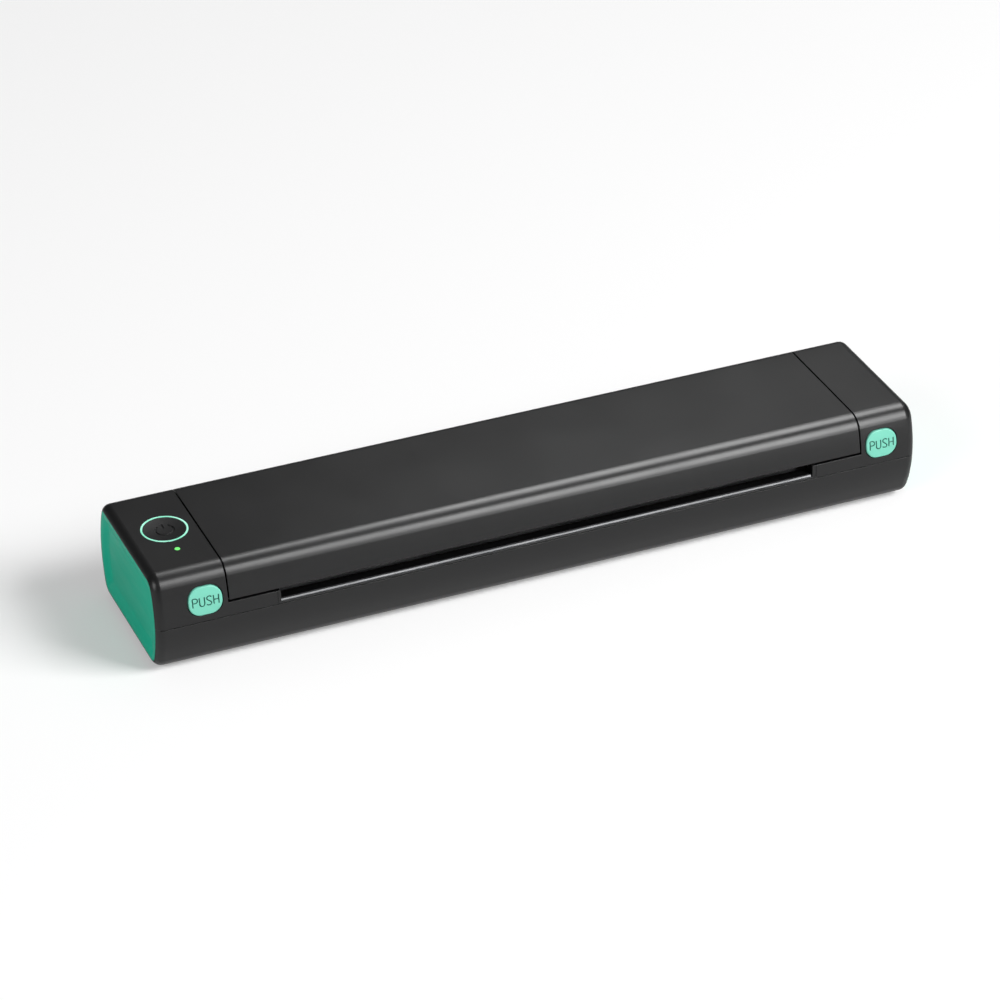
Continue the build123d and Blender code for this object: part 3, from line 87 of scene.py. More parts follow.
def stretched(tree, place, stretch):
    mapping = tree.nodes.new("ShaderNodeMapping")
    mapping.inputs["Scale"].default_value = stretch
    tree.links.new(place, mapping.inputs["Vector"])
    return mapping.outputs["Vector"]


def noise(tree, place, size, detail=2.0):
    # size is the width of one blotch in metres
    texture = tree.nodes.new("ShaderNodeTexNoise")
    texture.inputs["Scale"].default_value = 1 / size
    texture.inputs["Detail"].default_value = detail
    tree.links.new(place, texture.inputs["Vector"])
    return texture.outputs["Fac"]


def cells(tree, place, size, feature="F1"):
    texture = tree.nodes.new("ShaderNodeTexVoronoi")
    texture.feature = feature
    texture.inputs["Scale"].default_value = 1 / size
    tree.links.new(place, texture.inputs["Vector"])
    return texture.outputs["Distance"]


def ranged(tree, value, low, high, fromLow=0.3, fromHigh=0.7):
    mapRange = tree.nodes.new("ShaderNodeMapRange")
    mapRange.inputs["From Min"].default_value = fromLow
    mapRange.inputs["From Max"].default_value = fromHigh
    mapRange.inputs["To Min"].default_value = low
    mapRange.inputs["To Max"].default_value = high
    tree.links.new(value, mapRange.inputs["Value"])
    return mapRange.outputs["Result"]


def mathNode(tree, operation, first, second=0):
    node = tree.nodes.new("ShaderNodeMath")
    node.operation = operation
    for socket, value in zip(node.inputs, (first, second)):
        if isinstance(value, (int, float)):
            socket.default_value = value
        else:
            tree.links.new(value, socket)
    return node.outputs["Value"]


def mixed(tree, share, first, second):
    # Two colours, or colour sockets, mixed by a share between 0 and 1
    node = tree.nodes.new("ShaderNodeMix")
    node.data_type = "RGBA"
    tree.links.new(share, node.inputs["Factor"])
    for place, colour in zip(mixColours, (first, second)):
        if isinstance(colour, tuple):
            node.inputs[place].default_value = fromSrgb(colour)
        else:
            tree.links.new(colour, node.inputs[place])
    return node.outputs[mixResult]


def blotched(tree, pattern, first, second):
    # Two colours mixed by a noise or by cells
    return mixed(tree, ranged(tree, pattern, 0, 1), first, second)


def bumped(tree, shader, height, depth, previous=None):
    # depth is how far the highest point stands over the lowest, in metres
    bump = tree.nodes.new("ShaderNodeBump")
    bump.inputs["Distance"].default_value = depth
    tree.links.new(height, bump.inputs["Height"])
    if previous:
        tree.links.new(previous, bump.inputs["Normal"])
    tree.links.new(bump.outputs["Normal"], shader.inputs["Normal"])


def softEdges(tree, radius):
    # Shades sharp corners as if they were rounded, so that edges and seams catch the light
    bevel = tree.nodes.new("ShaderNodeBevel")
    bevel.samples = bevelSamples
    bevel.inputs["Radius"].default_value = radius
    return bevel.outputs["Normal"]


def alongAxis(tree, place, axis):
    split = tree.nodes.new("ShaderNodeSeparateXYZ")
    tree.links.new(place, split.inputs["Vector"])
    return split.outputs[axis]


def fromLevel(tree, place, axis, level):
    # Signed distance along one axis from a level on it
    return mathNode(tree, "SUBTRACT", alongAxis(tree, place, axis), level)


def within(tree, distance, reach):
    # 1 where a signed distance is less than reach either way, 0 elsewhere
    return mathNode(tree, "LESS_THAN", mathNode(tree, "ABSOLUTE", distance), reach)


# Materials

def grainedPlastic(name, look):
    # Moulded plastic with a fine spark-eroded grain and slow changes of gloss
    material, tree, shader, place = startMaterial(name, look)
    grain = noise(tree, place, look["grainSize"], detail=3.0)
    patches = noise(tree, place, look["patchSize"], detail=4.0)
    least = look["roughness"] - look["roughnessChange"]
    most = look["roughness"] + look["roughnessChange"]
    tree.links.new(ranged(tree, patches, least, most), shader.inputs["Roughness"])
    lighter = tuple(min(255, channel + look["colourChange"]) for channel in look["colour"])
    colour = blotched(tree, grain, look["colour"], lighter)
    # The sunk letters are painted a darker teal: painted shade in their recesses
    if "letterShade" in look:
        colour = mixed(tree, sunkLetters(tree, place, look), colour, look["letterShade"])
    tree.links.new(colour, shader.inputs["Base Color"])
    bumped(tree, shader, grain, look["grainDepth"], softEdges(tree, look["edge"]))
    return material


def sunkLetters(tree, place, look):
    # 1 inside the box round the word and below the bowed face of a button, 0 elsewhere: where the
    # sunk letters get their painted shade
    reachX, reachZ = look["wordReach"]
    insideX = within(tree, fromLevel(tree, place, "X", look["wordX"]), reachX)
    insideZ = within(tree, fromLevel(tree, place, "Z", look["wordZ"]), reachZ)
    acrossY = fromLevel(tree, place, "Y", look["bowY"])
    acrossZ = fromLevel(tree, place, "Z", look["bowZ"])
    squares = [mathNode(tree, "MULTIPLY", value, value) for value in (acrossY, acrossZ)]
    fromBow = mathNode(tree, "SQRT", mathNode(tree, "ADD", *squares))
    sunk = mathNode(tree, "LESS_THAN", fromBow, look["letterShadeRadius"])
    return mathNode(tree, "MULTIPLY", sunk, mathNode(tree, "MULTIPLY", insideX, insideZ))


def glossPlastic(name, look):
    # Polished moulding with long shallow waves and light scuffs
    material, tree, shader, place = startMaterial(name, look)
    waves = noise(tree, place, look["waveSize"], detail=1.0)
    drawnOut = stretched(tree, place, look["scuffStretch"])
    scuffs = noise(tree, drawnOut, look["scuffSize"], detail=5.0)
    dullest = look["roughness"] * look["scuffShare"]
    tree.links.new(ranged(tree, scuffs, look["roughness"], dullest), shader.inputs["Roughness"])
    deeper = scaled(look["colour"], look["deepShare"])
    tree.links.new(blotched(tree, waves, look["colour"], deeper), shader.inputs["Base Color"])
    bumped(tree, shader, waves, look["waveDepth"])
    return material


def litPlastic(name, look):
    # Light guide with a lamp behind it: brighter patches where the lamps sit
    material, tree, shader, place = startMaterial(name, look)
    patches = noise(tree, place, look["glowSize"], detail=1.0)
    colour = blotched(tree, patches, look["colour"], look["glow"])
    for socket in ("Base Color", "Emission Color"):
        tree.links.new(colour, shader.inputs[socket])
    shader.inputs["Emission Strength"].default_value = look["strength"]
    bumped(tree, shader, noise(tree, place, look["grainSize"]), look["grainDepth"])
    return material


def brushedMetal(name, look):
    # Fine lines along one axis, made by a noise drawn out that way
    material, tree, shader, place = startMaterial(name, look)
    lines = noise(tree, stretched(tree, place, look["stretch"]), look["lineSize"], detail=4.0)
    patches = noise(tree, place, look["patchSize"], detail=3.0)
    colour = blotched(tree, patches, look["colour"], scaled(look["colour"], look["darkShare"]))
    if "highlightTop" in look:  # painted highlight: the steel keeps its own colour only below a set height and is painted dark above it, so a bright line shows along the bar's lower edge; the lamps still light it, but its place and width are painted
        height = alongAxis(tree, place, "Z")
        blurTop = look["highlightTop"] + look["highlightBlur"]
        above = ranged(tree, height, 0, 1, look["highlightTop"], blurTop)
        colour = mixed(tree, above, colour, look["darkAboveHighlight"])
    tree.links.new(colour, shader.inputs["Base Color"])
    least, most = (look["roughness"] * share for share in look["roughnessShares"])
    tree.links.new(ranged(tree, lines, least, most), shader.inputs["Roughness"])
    bumped(tree, shader, lines, look["lineDepth"])
    return material


def platedMetal(name, look):
    # Zinc plate: small crystal cells that differ a little in tone and gloss
    material, tree, shader, place = startMaterial(name, look)
    crystals = cells(tree, place, look["crystalSize"])
    stains = noise(tree, place, look["patchSize"], detail=4.0)
    darker = scaled(look["colour"], look["darkShare"])
    tree.links.new(blotched(tree, stains, look["colour"], darker), shader.inputs["Base Color"])
    least, most = (look["roughness"] * share for share in look["roughnessShares"])
    gloss = ranged(tree, crystals, least, most, 0, look["crystalEdge"])
    tree.links.new(gloss, shader.inputs["Roughness"])
    bumped(tree, shader, crystals, look["crystalDepth"])
    return material


def softRubber(name, look):
    # Ground rubber: open pores and a dusty bloom in patches
    material, tree, shader, place = startMaterial(name, look)
    patches = noise(tree, place, look["patchSize"], detail=5.0)
    colour = blotched(tree, patches, look["colour"], look["bloom"])
    tree.links.new(colour, shader.inputs["Base Color"])
    bumped(tree, shader, cells(tree, place, look["poreSize"]), look["poreDepth"])
    return material


def circuitBoard(name, look):
    # Solder mask over copper: tracks show as raised, lighter lines between darker fields
    material, tree, shader, place = startMaterial(name, look)
    flat = stretched(tree, place, look["trackStretch"])
    edges = cells(tree, flat, look["trackPitch"], feature="DISTANCE_TO_EDGE")
    track = ranged(tree, edges, 1, 0, look["trackLow"], look["trackHigh"])
    weave = noise(tree, place, look["weaveSize"])
    field = blotched(tree, weave, look["colour"], look["weaveColour"])
    tree.links.new(mixed(tree, track, field, look["trackColour"]), shader.inputs["Base Color"])
    bumped(tree, shader, track, look["trackDepth"])
    return material


def printHeadCeramic(name, look):
    # Pale ceramic with the dark heating line along its crest and black resin over the driver chips
    material, tree, shader, place = startMaterial(name, look)
    fromLine = mathNode(tree, "ABSOLUTE", fromLevel(tree, place, "Y", look["lineY"]))
    core = look["lineWidth"] * look["lineCore"]
    line = ranged(tree, fromLine, 1, 0, core, look["lineWidth"])
    resinEnd = look["resinY"] + look["resinFade"]
    resin = ranged(tree, alongAxis(tree, place, "Y"), 0, 1, look["resinY"], resinEnd)
    speckle = ranged(tree, noise(tree, place, look["speckleSize"], detail=3.0), 0, 1)
    plain = mixed(tree, speckle, look["colour"], look["speckleColour"])
    lined = mixed(tree, line, plain, look["lineColour"])
    tree.links.new(mixed(tree, resin, lined, look["resinColour"]), shader.inputs["Base Color"])
    bumped(tree, shader, speckle, look["speckleDepth"])
    return material


def flexFilm(name, look):
    # Amber film with copper tracks that run front to back
    material, tree, shader, place = startMaterial(name, look)
    wave = tree.nodes.new("ShaderNodeTexWave")
    wave.bands_direction = "X"
    wave.inputs["Scale"].default_value = look["trackScale"]
    tree.links.new(place, wave.inputs["Vector"])
    track = ranged(tree, wave.outputs["Fac"], 0, 1, look["trackLow"], look["trackHigh"])
    colour = mixed(tree, track, look["colour"], look["trackColour"])
    tree.links.new(colour, shader.inputs["Base Color"])
    bumped(tree, shader, track, look["trackDepth"])
    return material


# The closed casing, which the end panels and the buttons' lettering are fitted to
casing = {
    "length": 310.2 * mm,
    "depth": 65.8 * mm,
    "height": 39.2 * mm,
    "bottom": 1.2 * mm,
    "bowRadius": 42.9 * mm,
    "frontTopRadius": 6.65 * mm,
    "backTopRadius": 4.0 * mm,
    "bottomRadius": 6.6 * mm,
}

casingLook = {
    "colour": (7, 7, 8),
    "colourChange": 2,
    "roughness": 0.35,
    "roughnessChange": 0.02,
    "specular": 0.5,
    "grainSize": 0.22 * mm,
    "grainDepth": 0.003 * mm,
    "patchSize": 30 * mm,
    "edge": 0.3 * mm,
}
linerLook = dict(casingLook, colour=(44, 44, 46), roughness=0.5, grainSize=0.4 * mm)
buttonLook = dict(
    casingLook,
    colour=(112, 194, 172),
    colourChange=3,
    roughness=0.36,
    specular=0.4,
    # colour of the painted shade in the sunk letters
    letterShade=(16, 92, 80),
    wordX=-135.7 * mm,
    wordZ=casing["bottom"] + casing["height"] / 2 + 8.15 * mm,
    wordReach=(5.4 * mm, 2.1 * mm),
    bowY=casing["bowRadius"] - casing["depth"] / 2,
    bowZ=casing["bottom"] + casing["height"] / 2,
    # below this distance from the bow's centre line the letters' recesses get painted shade
    letterShadeRadius=casing["bowRadius"] + 0.27 * mm,
)
rightButtonLook = dict(buttonLook, wordX=139.9 * mm)
powerLook = dict(casingLook, colour=(12, 12, 13), roughness=0.42, specular=0.35)
acetalLook = dict(casingLook, colour=(226, 222, 208), roughness=0.42, grainSize=0.6 * mm)
resinLook = dict(casingLook, colour=(24, 24, 25), roughness=0.55, grainSize=0.15 * mm)
sleeveLook = dict(
    casingLook, colour=(38, 66, 126), roughness=0.24, grainSize=4 * mm, grainDepth=0.05 * mm
)
panelLook = {
    "colour": (5, 184, 150),
    "deepShare": 0.96,
    "roughness": 0.34,
    "specular": 0.2,
    "waveSize": 40 * mm,
    "waveDepth": 0.004 * mm,
    "scuffSize": 6 * mm,
    "scuffStretch": (1, 0.2, 1),
    "scuffShare": 1.35,
}
lampLook = dict(panelLook, colour=(226, 228, 214), roughness=0.15)
ringLook = {
    "colour": (112, 214, 178),
    "glow": (176, 246, 222),
    "roughness": 0.3,
    "strength": 0.22,
    "glowSize": 7 * mm,
    "grainSize": 0.3 * mm,
    "grainDepth": 0.003 * mm,
}
lensLook = dict(ringLook, colour=(84, 206, 92), glow=(150, 250, 140), strength=0.55)
steelLook = {
    "colour": (196, 198, 200),
    "darkShare": 0.9,
    "metallic": 1.0,
    "roughness": 0.3,
    "roughnessShares": (0.8, 1.25),
    "stretch": (0.02, 1, 1),
    "lineSize": 0.3 * mm,
    "lineDepth": 0.004 * mm,
    "patchSize": 20 * mm,
}
barLook = dict(
    steelLook,
    colour=(136, 137, 139),
    roughness=0.52,
    # height below which the bar keeps its steel colour, for the painted highlight line, and the
    # dark colour painted above it
    highlightTop=22.0 * mm,
    highlightBlur=0.06 * mm,
    darkAboveHighlight=(42, 42, 43),
)
shaftLook = dict(steelLook, colour=(214, 215, 217), roughness=0.16, stretch=(1, 0.1, 0.1))
springLook = dict(steelLook, colour=(176, 178, 180), roughness=0.28, lineSize=0.5 * mm)
aluminiumLook = dict(steelLook, colour=(206, 208, 210), roughness=0.38, lineSize=0.5 * mm)
brassLook = dict(steelLook, colour=(206, 166, 92), roughness=0.26, stretch=(1, 0.1, 0.1))
plateLook = {
    "colour": (178, 182, 184),
    "darkShare": 0.85,
    "metallic": 1.0,
    "roughness": 0.34,
    "roughnessShares": (0.8, 1.3),
    "crystalSize": 1.6 * mm,
    "crystalEdge": 0.8,
    "crystalDepth": 0.01 * mm,
    "patchSize": 12 * mm,
}
screwLook = dict(plateLook, colour=(120, 122, 126), roughness=0.3, crystalSize=0.5 * mm)
portLook = dict(plateLook, colour=(200, 202, 205), roughness=0.2, crystalSize=0.8 * mm)
motorLook = dict(plateLook, colour=(168, 170, 172), roughness=0.26, crystalSize=2.4 * mm)
rollerLook = {
    "colour": (30, 30, 31),
    "bloom": (44, 44, 45),
    "roughness": 0.72,
    "poreSize": 0.12 * mm,
    "poreDepth": 0.01 * mm,
    "patchSize": 14 * mm,
}
footLook = dict(
    rollerLook, colour=(26, 26, 27), roughness=0.8, poreSize=0.3 * mm, poreDepth=0.03 * mm
)
boardLook = {
    "colour": (14, 84, 48),
    "weaveColour": (18, 96, 56),
    "trackColour": (34, 126, 74),
    "roughness": 0.32,
    "trackPitch": 3.2 * mm,
    "trackStretch": (1, 1, 0),
    "trackLow": 0.03,
    "trackHigh": 0.06,
    "trackDepth": 0.02 * mm,
    "weaveSize": 0.7 * mm,
}
ceramicLook = {
    "colour": (196, 190, 174),
    "speckleColour": (184, 178, 160),
    "lineColour": (92, 74, 56),
    "resinColour": (24, 24, 26),
    "roughness": 0.2,
    "lineY": -19.55 * mm,
    "lineWidth": 0.5 * mm,
    "lineCore": 0.6,
    "resinY": -15.75 * mm,
    "resinFade": 0.1 * mm,
    "speckleSize": 0.5 * mm,
    "speckleDepth": 0.004 * mm,
}
filmLook = {
    "colour": (168, 92, 24),
    "trackColour": (206, 128, 52),
    "roughness": 0.22,
    "trackScale": 320,
    "trackLow": 0.45,
    "trackHigh": 0.6,
    "trackDepth": 0.02 * mm,
}

panelGreen = glossPlastic("panelGreen", panelLook)
springSteel = brushedMetal("springSteel", springLook)
dressing = {
    grainedPlastic("casingBlack", casingLook): [
        "lower_shell", "upper_shell", "cover", "exit_bezel",
    ],
    grainedPlastic("linerGrey", linerLook): ["cover_liner", "paper_guide"],
    grainedPlastic("buttonMintLeft", buttonLook): ["push_button_left"],
    grainedPlastic("buttonMintRight", rightButtonLook): ["push_button_right"],
    grainedPlastic("powerBlack", powerLook): ["power_button"],
    grainedPlastic("gearAcetal", acetalLook): [
        "platen_gear", "idler_gear", "compound_gear", "latch_left", "latch_right",
        "platen_bushings",
    ],
    grainedPlastic("chipBlack", resinLook): ["board_components", "power_switch", "paper_sensor"],
    grainedPlastic("batterySleeve", sleeveLook): ["battery_pack"],
    panelGreen: ["end_panel_left", "end_panel_right"],
    glossPlastic("lampWhite", lampLook): ["status_led"],
    litPlastic("ringMint", ringLook): ["power_light_ring"],
    litPlastic("lensGreen", lensLook): ["status_lens"],
    brushedMetal("barSteel", barLook): ["tear_bar"],
    brushedMetal("shaftSteel", shaftLook): [
        "hinge_pins", "platen_shaft", "head_pivot_shaft", "motor_shaft",
    ],
    springSteel: ["head_springs", "latch_spring_left", "latch_spring_right"],
    brushedMetal("sinkAluminium", aluminiumLook): ["head_heatsink"],
    brushedMetal("pinionBrass", brassLook): ["motor_pinion"],
    platedMetal("plateZinc", plateLook): ["gear_plate", "platen_brackets"],
    platedMetal("motorZinc", motorLook): ["stepper_motor"],
    platedMetal("portNickel", portLook): ["charging_port"],
    platedMetal("screwZinc", screwLook): [
        "housing_screws", "liner_screws", "bracket_screws", "guide_screws",
        "gear_plate_screws", "motor_screws", "board_screws", "gear_clips", "platen_clips",
    ],
    softRubber("rollerRubber", rollerLook): ["platen_rubber"],
    softRubber("footRubber", footLook): ["rubber_feet"],
    circuitBoard("boardGreen", boardLook): ["main_board", "control_board", "port_board"],
    printHeadCeramic("headCeramic", ceramicLook): ["print_head"],
    flexFilm("headFilm", filmLook): ["head_flex"],
}
smoothAngle = math.radians(28)


def smoothed(mesh, angle):
    mesh.shade_smooth()
    mesh.set_sharp_from_angle(angle=angle)


for material, names in dressing.items():
    for name in names:
        mesh = nodes[name].data
        mesh.materials.clear()
        mesh.materials.append(material)
        smoothed(mesh, smoothAngle)
print("materials", len(dressing), "on", sum(len(names) for names in dressing.values()), "nodes")


# Shape helpers

def addObject(name, data):
    built = bpy.data.objects.new(name, data)
    bpy.context.scene.collection.objects.link(built)
    return built


def skin(shape, rings):
    # Faces from each closed ring of points to the next, and a cap on both ends
    previous = None
    for points in rings:
        ring = [shape.verts.new(point) for point in points]
        if previous is None:
            shape.faces.new(ring)
        else:
            for place, corner in enumerate(ring):
                shape.faces.new((previous[place - 1], previous[place], corner, ring[place - 1]))
        previous = ring
    shape.faces.new(previous)


def finished(name, shape):
    # Turns the faces outwards and makes an object of them
    bmesh.ops.recalc_face_normals(shape, faces=shape.faces)
    mesh = bpy.data.meshes.new(name)
    shape.to_mesh(mesh)
    shape.free()
    return addObject(name, mesh)


def arc(centre, radius, start, end, steps):
    # Points (y, z) on part of a circle, both ends among them
    midY, midZ = centre
    points = []
    for step in range(steps + 1):
        angle = start + (end - start) * step / steps
        points.append((midY + radius * math.cos(angle), midZ + radius * math.sin(angle)))
    return points


# End panels: plates with a soft dish, seated inside the ends of the casing

panel = {
    "inset": 2.25 * mm,
    "setback": 0.3 * mm,
    "thickness": 3.6 * mm,
    "rimRound": 0.3 * mm,
    "rimSteps": 4,
    "rimWidth": 0.45 * mm,
    "slopeWidth": 5.6 * mm,
    "dishDepth": 1.5 * mm,
    "slopeSteps": 14,
    "flatInsets": (11 * mm, 14 * mm),
    "rimCorner": 0.4 * mm,
    "dishCorner": 2.6 * mm,
    "arcSteps": 10,
    "sideSteps": 16,
    "smoothAngle": math.radians(35),
}
port = {
    "middle": (4.0 * mm, casing["bottom"] + 13.0 * mm),
    "width": 9.54 * mm,
    "height": 3.86 * mm,
    "resetOffset": 9.0 * mm,
    "resetRadius": 0.8 * mm,
    "steps": 16,
}


def sectionRing(inset, leastRadius):
    # Points round the casing's cross-section shrunk by inset, anticlockwise from the right end
    half = casing["height"] / 2
    middle = casing["bottom"] + half
    bow = casing["bowRadius"] - inset
    bowCentre = casing["depth"] / 2 - casing["bowRadius"]
    cornerRadii = {
        (1, 1): casing["backTopRadius"],
        (-1, 1): casing["frontTopRadius"],
        (-1, -1): casing["bottomRadius"],
        (1, -1): casing["bottomRadius"],
    }
    points = []
    for (side, level), corner in cornerRadii.items():
        radius = max(corner - inset, leastRadius)
        rise = half - inset - radius
        run = math.sqrt((bow - radius) ** 2 - rise**2)
        tangent = math.atan2(rise, run)
        bowArc = arc((bowCentre, 0), bow, 0, tangent, panel["sideSteps"])[:-1]
        centre = (bowCentre + run, rise)
        cornerArc = arc(centre, radius, tangent, math.pi / 2, panel["arcSteps"])
        quarter = [(side * y, middle + level * z) for y, z in bowArc + cornerArc]
        points.extend(quarter if side * level > 0 else quarter[::-1])
    return [point for place, point in enumerate(points) if point != points[place - 1]]


def panelRings():
    # Inset, depth behind the outer face and least corner radius of each ring, from the back
    # edge inwards
    inset = panel["inset"]
    rings = [(inset, panel["thickness"], panel["rimCorner"])]
    for step in range(panel["rimSteps"] + 1):
        angle = math.pi / 2 * step / panel["rimSteps"]
        out = panel["rimRound"] * (1 - math.cos(angle))
        depth = panel["rimRound"] * (1 - math.sin(angle))
        rings.append((inset + out, depth, panel["rimCorner"]))
    start = inset + panel["rimRound"] + panel["rimWidth"]
    for step in range(panel["slopeSteps"] + 1):
        share = step / panel["slopeSteps"]
        fall = share**2 * (3 - 2 * share)
        corner = panel["rimCorner"] + (panel["dishCorner"] - panel["rimCorner"]) * share
        rings.append((start + panel["slopeWidth"] * share, panel["dishDepth"] * fall, corner))
    for flat in panel["flatInsets"]:
        rings.append((flat, panel["dishDepth"], panel["dishCorner"]))
    return rings


def buildEndPanel(name, side):
    outer = casing["length"] / 2 - panel["setback"]
    rings = []
    for inset, depth, corner in panelRings():
        x = side * (outer - depth)
        rings.append([(x, y, z) for y, z in sectionRing(inset, corner)])
    shape = bmesh.new()
    skin(shape, rings)
    plate = finished(name, shape)
    plate.data.materials.append(panelGreen)
    return plate


def buildPortCutter():
    # A rounded slot for the charging port and a pinhole for the reset, both right through
    outer = casing["length"] / 2
    back = outer - 2 * panel["thickness"]
    midY, midZ = port["middle"]
    radius = port["height"] / 2
    reach = port["width"] / 2 - radius
    quarter = math.pi / 2
    slot = arc((midY + reach, midZ), radius, -quarter, quarter, port["steps"])
    slot += arc((midY - reach, midZ), radius, quarter, 3 * quarter, port["steps"])
    holeCentre = (midY + port["resetOffset"], midZ)
    hole = arc(holeCentre, port["resetRadius"], 0, 4 * quarter, 2 * port["steps"])[:-1]
    shape = bmesh.new()
    for outline in (slot, hole):
        skin(shape, [[(x, y, z) for y, z in outline] for x in (back, outer)])
    return finished("portCutter", shape)


def cutAway(plate, cutter):
    cut = plate.modifiers.new("cut", "BOOLEAN")
    cut.operation = "DIFFERENCE"
    cut.solver = "EXACT"
    cut.object = cutter
    depsgraph = bpy.context.evaluated_depsgraph_get()
    carved = bpy.data.meshes.new_from_object(plate.evaluated_get(depsgraph))
    plate.modifiers.remove(cut)
    plate.data = carved
    bpy.data.objects.remove(cutter)


leftPanel = buildEndPanel("endPanelLeft", -1)
rightPanel = buildEndPanel("endPanelRight", 1)
cutAway(rightPanel, buildPortCutter())
for plate, node in ((leftPanel, "end_panel_left"), (rightPanel, "end_panel_right")):
    smoothed(plate.data, panel["smoothAngle"])
    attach(plate, "housing")
    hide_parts(node)
print("end panels", len(leftPanel.data.polygons), "and", len(rightPanel.data.polygons), "faces")


# Springs: wound coils with closed ends

latchSpring = {
    "radius": 1.8 * mm,
    "wire": 0.4 * mm,
    "turns": 4,
    "endTurns": 1,
    "keep": 0.5,
}
headSpring = dict(latchSpring, radius=2.5 * mm, wire=0.5 * mm, turns=5, keep=0.94)
headSpringMiddles = (-69.993 * mm, 1.65 * mm, 73.293 * mm)
coilSteps = 30  # along each turn
wireSteps = 10  # around the wire
coilSmoothAngle = math.radians(60)


def coilRise(turn, look, length):
    # How far the wire has climbed: a wire's width for each end turn, evenly between them
    closed = look["endTurns"]
    free = look["turns"]
    climb = length - look["wire"] * (1 + 2 * closed)
    lower = min(turn, closed) * look["wire"]
    middle = min(max(turn - closed, 0), free) / free * climb
    upper = max(turn - closed - free, 0) * look["wire"]
    return look["wire"] / 2 + lower + middle + upper


def coilRings(start, end, look):
    # Rings round the wire, from one end of the coil to the other
    along = Vector(end) - Vector(start)
    length = along.length
    along.normalize()
    across = along.orthogonal().normalized()
    side = along.cross(across)
    turns = look["turns"] + 2 * look["endTurns"]
    for step in range(turns * coilSteps + 1):
        turn = step / coilSteps
        angle = 2 * math.pi * turn
        outward = across * math.cos(angle) + side * math.sin(angle)
        climbed = along * coilRise(turn, look, length)
        middle = Vector(start) + climbed + outward * look["radius"]
        ring = []
        for place in range(wireSteps):
            around = 2 * math.pi * place / wireSteps
            offset = outward * math.cos(around) + along * math.sin(around)
            ring.append(middle + offset * look["wire"] / 2)
        yield ring


def buildSprings(name, look, ends, node):
    shape = bmesh.new()
    for start, end in ends:
        skin(shape, coilRings(start, end, look))
    spring = finished(name, shape)
    spring.data.materials.append(springSteel)
    smoothed(spring.data, coilSmoothAngle)
    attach(spring, "housing")
    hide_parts(node)
    start, end = ends[0]
    tuple(Vector(end) - Vector(start))
    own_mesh(spring)
    tuple(start)


for name, joint, node in (
    ("latchSpringLeft", "push_left", "latch_spring_left"),
    ("latchSpringRight", "push_right", "latch_spring_right"),
):
    low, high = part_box(node)
    midX, midZ = (low[0] + high[0]) / 2, (low[2] + high[2]) / 2
    buildSprings(name, latchSpring, [((midX, high[1], midZ), (midX, low[1], midZ))], node)
low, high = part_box("head_springs")
midY = (low[1] + high[1]) / 2
headEnds = [((x, midY, low[2]), (x, midY, high[2])) for x in headSpringMiddles]
buildSprings("headSprings", headSpring, headEnds, "head_springs")
print("springs", 2 + len(headEnds), "coils")


# Studio: a pale floor, soft boxes, and a room that is white to the camera and dark to gloss

studio = {
    "floorSize": 10.0,
    "floorDrop": 0.05 * mm,
    "floorColour": (211, 211, 211),
    "floorRoughness": 0.7,
    "floorSpecular": 0.2,
    "floorLift": 0.28,
    "floorGloss": 0.04,
    "floorGlow": 0.0,
    "roomLift": 1.0,
    "roomFill": 0.2,
    "roomGloss": 0.12,
}
softBoxes = {
    "keyBox": {
        "place": (2.17, -1.88, 2.24),
        "size": (1.8, 1.8),
        "glow": 17.6,
        "lights": True,
        "shines": False,
    },
    "fillBox": {
        "place": (-2.6, -1.2, 1.6),
        "size": (1.6, 1.6),
        "glow": 4.2,
        "lights": True,
        "shines": True,
    },
    "frontShine": {
        "place": (1.43, -2.42, 2.32),
        "size": (0.9, 2.02),
        "glow": 19.8,
        "lights": False,
        "shines": True,
    },
    "lowShine": {
        "place": (1.77, -3.01, 1.03),
        "size": (0.9, 0.96),
        "glow": 6.5,
        "lights": False,
        "shines": True,
    },
    "edgeShine": {
        "place": (0.476, 0.36, 0.967),
        "size": (0.723, 0.43),
        "glow": 11.2,
        "lights": False,
        "shines": True,
    },
}
camera = {
    "place": (-500.43 * mm, -1147.29 * mm, 809.2 * mm),
    "yaw": math.radians(23.315),
    "pitch": math.radians(32.248),
    "lens": 140.04,
    "sensor": 36,
}


def strengthByRay(tree, seen, mirrored, others):
    # seen is for the camera, also through glass, and mirrored is for glossy surfaces
    rays = tree.nodes.new("ShaderNodeLightPath").outputs
    direct = mathNode(tree, "MAXIMUM", rays["Is Camera Ray"], rays["Is Transmission Ray"])
    direct = mathNode(tree, "MULTIPLY", direct, seen - others)
    gloss = mathNode(tree, "MULTIPLY", rays["Is Glossy Ray"], mirrored - others)
    return mathNode(tree, "ADD", mathNode(tree, "ADD", direct, gloss), others)


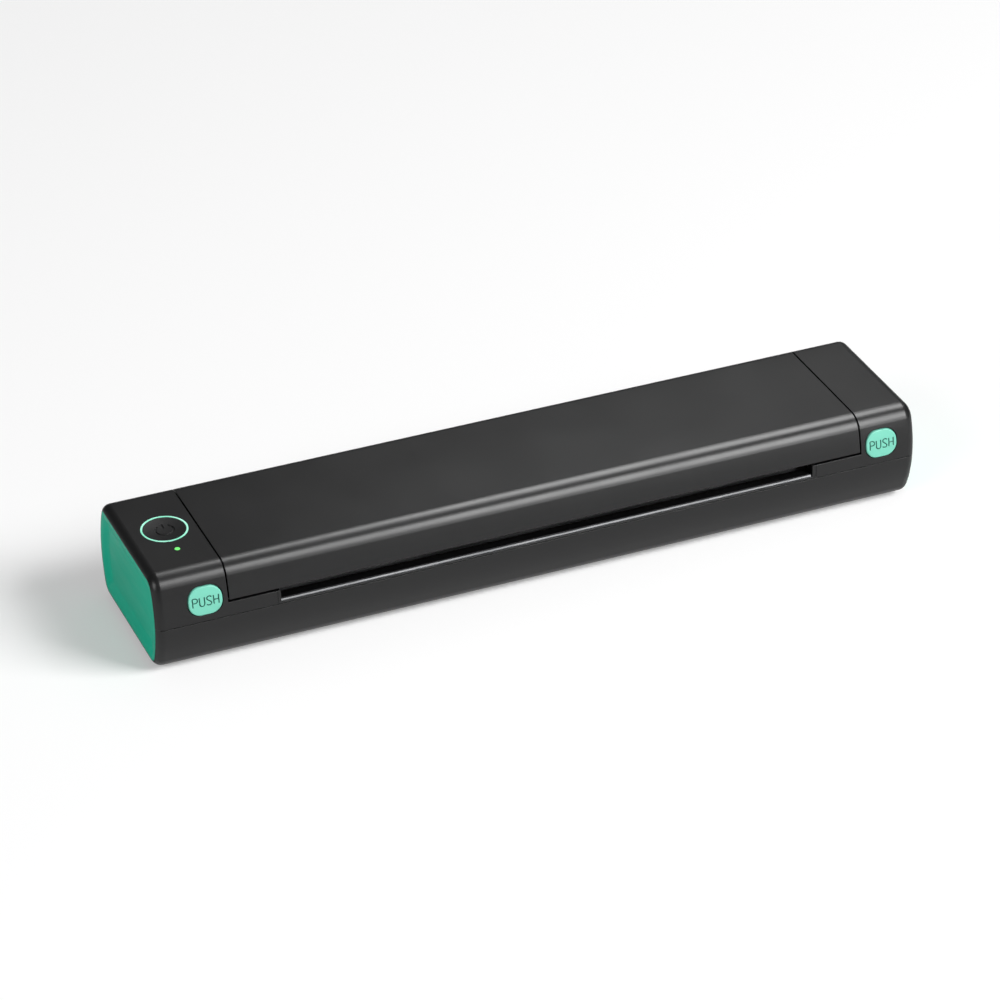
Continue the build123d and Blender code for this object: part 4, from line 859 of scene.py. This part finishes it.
def buildFloor():
    half = studio["floorSize"] / 2
    mesh = bpy.data.meshes.new("studioFloor")
    corners = [(-half, -half), (half, -half), (half, half), (-half, half)]
    mesh.from_pydata([(x, y, -studio["floorDrop"]) for x, y in corners], [], [(0, 1, 2, 3)])
    floor = addObject("studioFloor", mesh)
    floorLook = {
        "colour": studio["floorColour"],
        "roughness": studio["floorRoughness"],
        "specular": studio["floorSpecular"],
    }
    material, tree, shader, place = startMaterial("studioFloor", floorLook)
    lift = strengthByRay(tree, studio["floorLift"], studio["floorGloss"], studio["floorGlow"])
    tree.links.new(lift, shader.inputs["Emission Strength"])
    shader.inputs["Emission Color"].default_value = white
    mesh.materials.append(material)


def buildRoom():
    world = bpy.data.worlds.new("studioRoom")
    bpy.context.scene.world = world
    world.use_nodes = True
    background = world.node_tree.nodes["Background"]
    background.inputs["Color"].default_value = white
    levels = (studio["roomLift"], studio["roomGloss"], studio["roomFill"])
    strength = strengthByRay(world.node_tree, *levels)
    world.node_tree.links.new(strength, background.inputs["Strength"])


def buildSoftBox(name, look):
    light = bpy.data.lights.new(name, "AREA")
    light.shape = "RECTANGLE"
    light.size, light.size_y = look["size"]
    light.energy = look["glow"] * math.pi * light.size * light.size_y
    box = addObject(name, light)
    box.location = look["place"]
    box.rotation_euler = (-box.location).to_track_quat("-Z", "Y").to_euler()
    box.visible_diffuse = look["lights"]
    box.visible_glossy = look["shines"]


def buildCamera():
    data = bpy.data.cameras.new("camera")
    data.lens = camera["lens"]
    data.sensor_width = camera["sensor"]
    body = addObject("camera", data)
    body.location = camera["place"]
    yaw, pitch = camera["yaw"], camera["pitch"]
    level = math.cos(pitch)
    aim = Vector((math.sin(yaw) * level, math.cos(yaw) * level, -math.sin(pitch)))
    body.rotation_euler = aim.to_track_quat("-Z", "Y").to_euler()
    bpy.context.scene.camera = body


buildFloor()
buildRoom()
for name, look in softBoxes.items():
    buildSoftBox(name, look)
buildCamera()
bpy.context.scene.view_settings.view_transform = "Standard"
print("studio", len(softBoxes), "soft boxes")
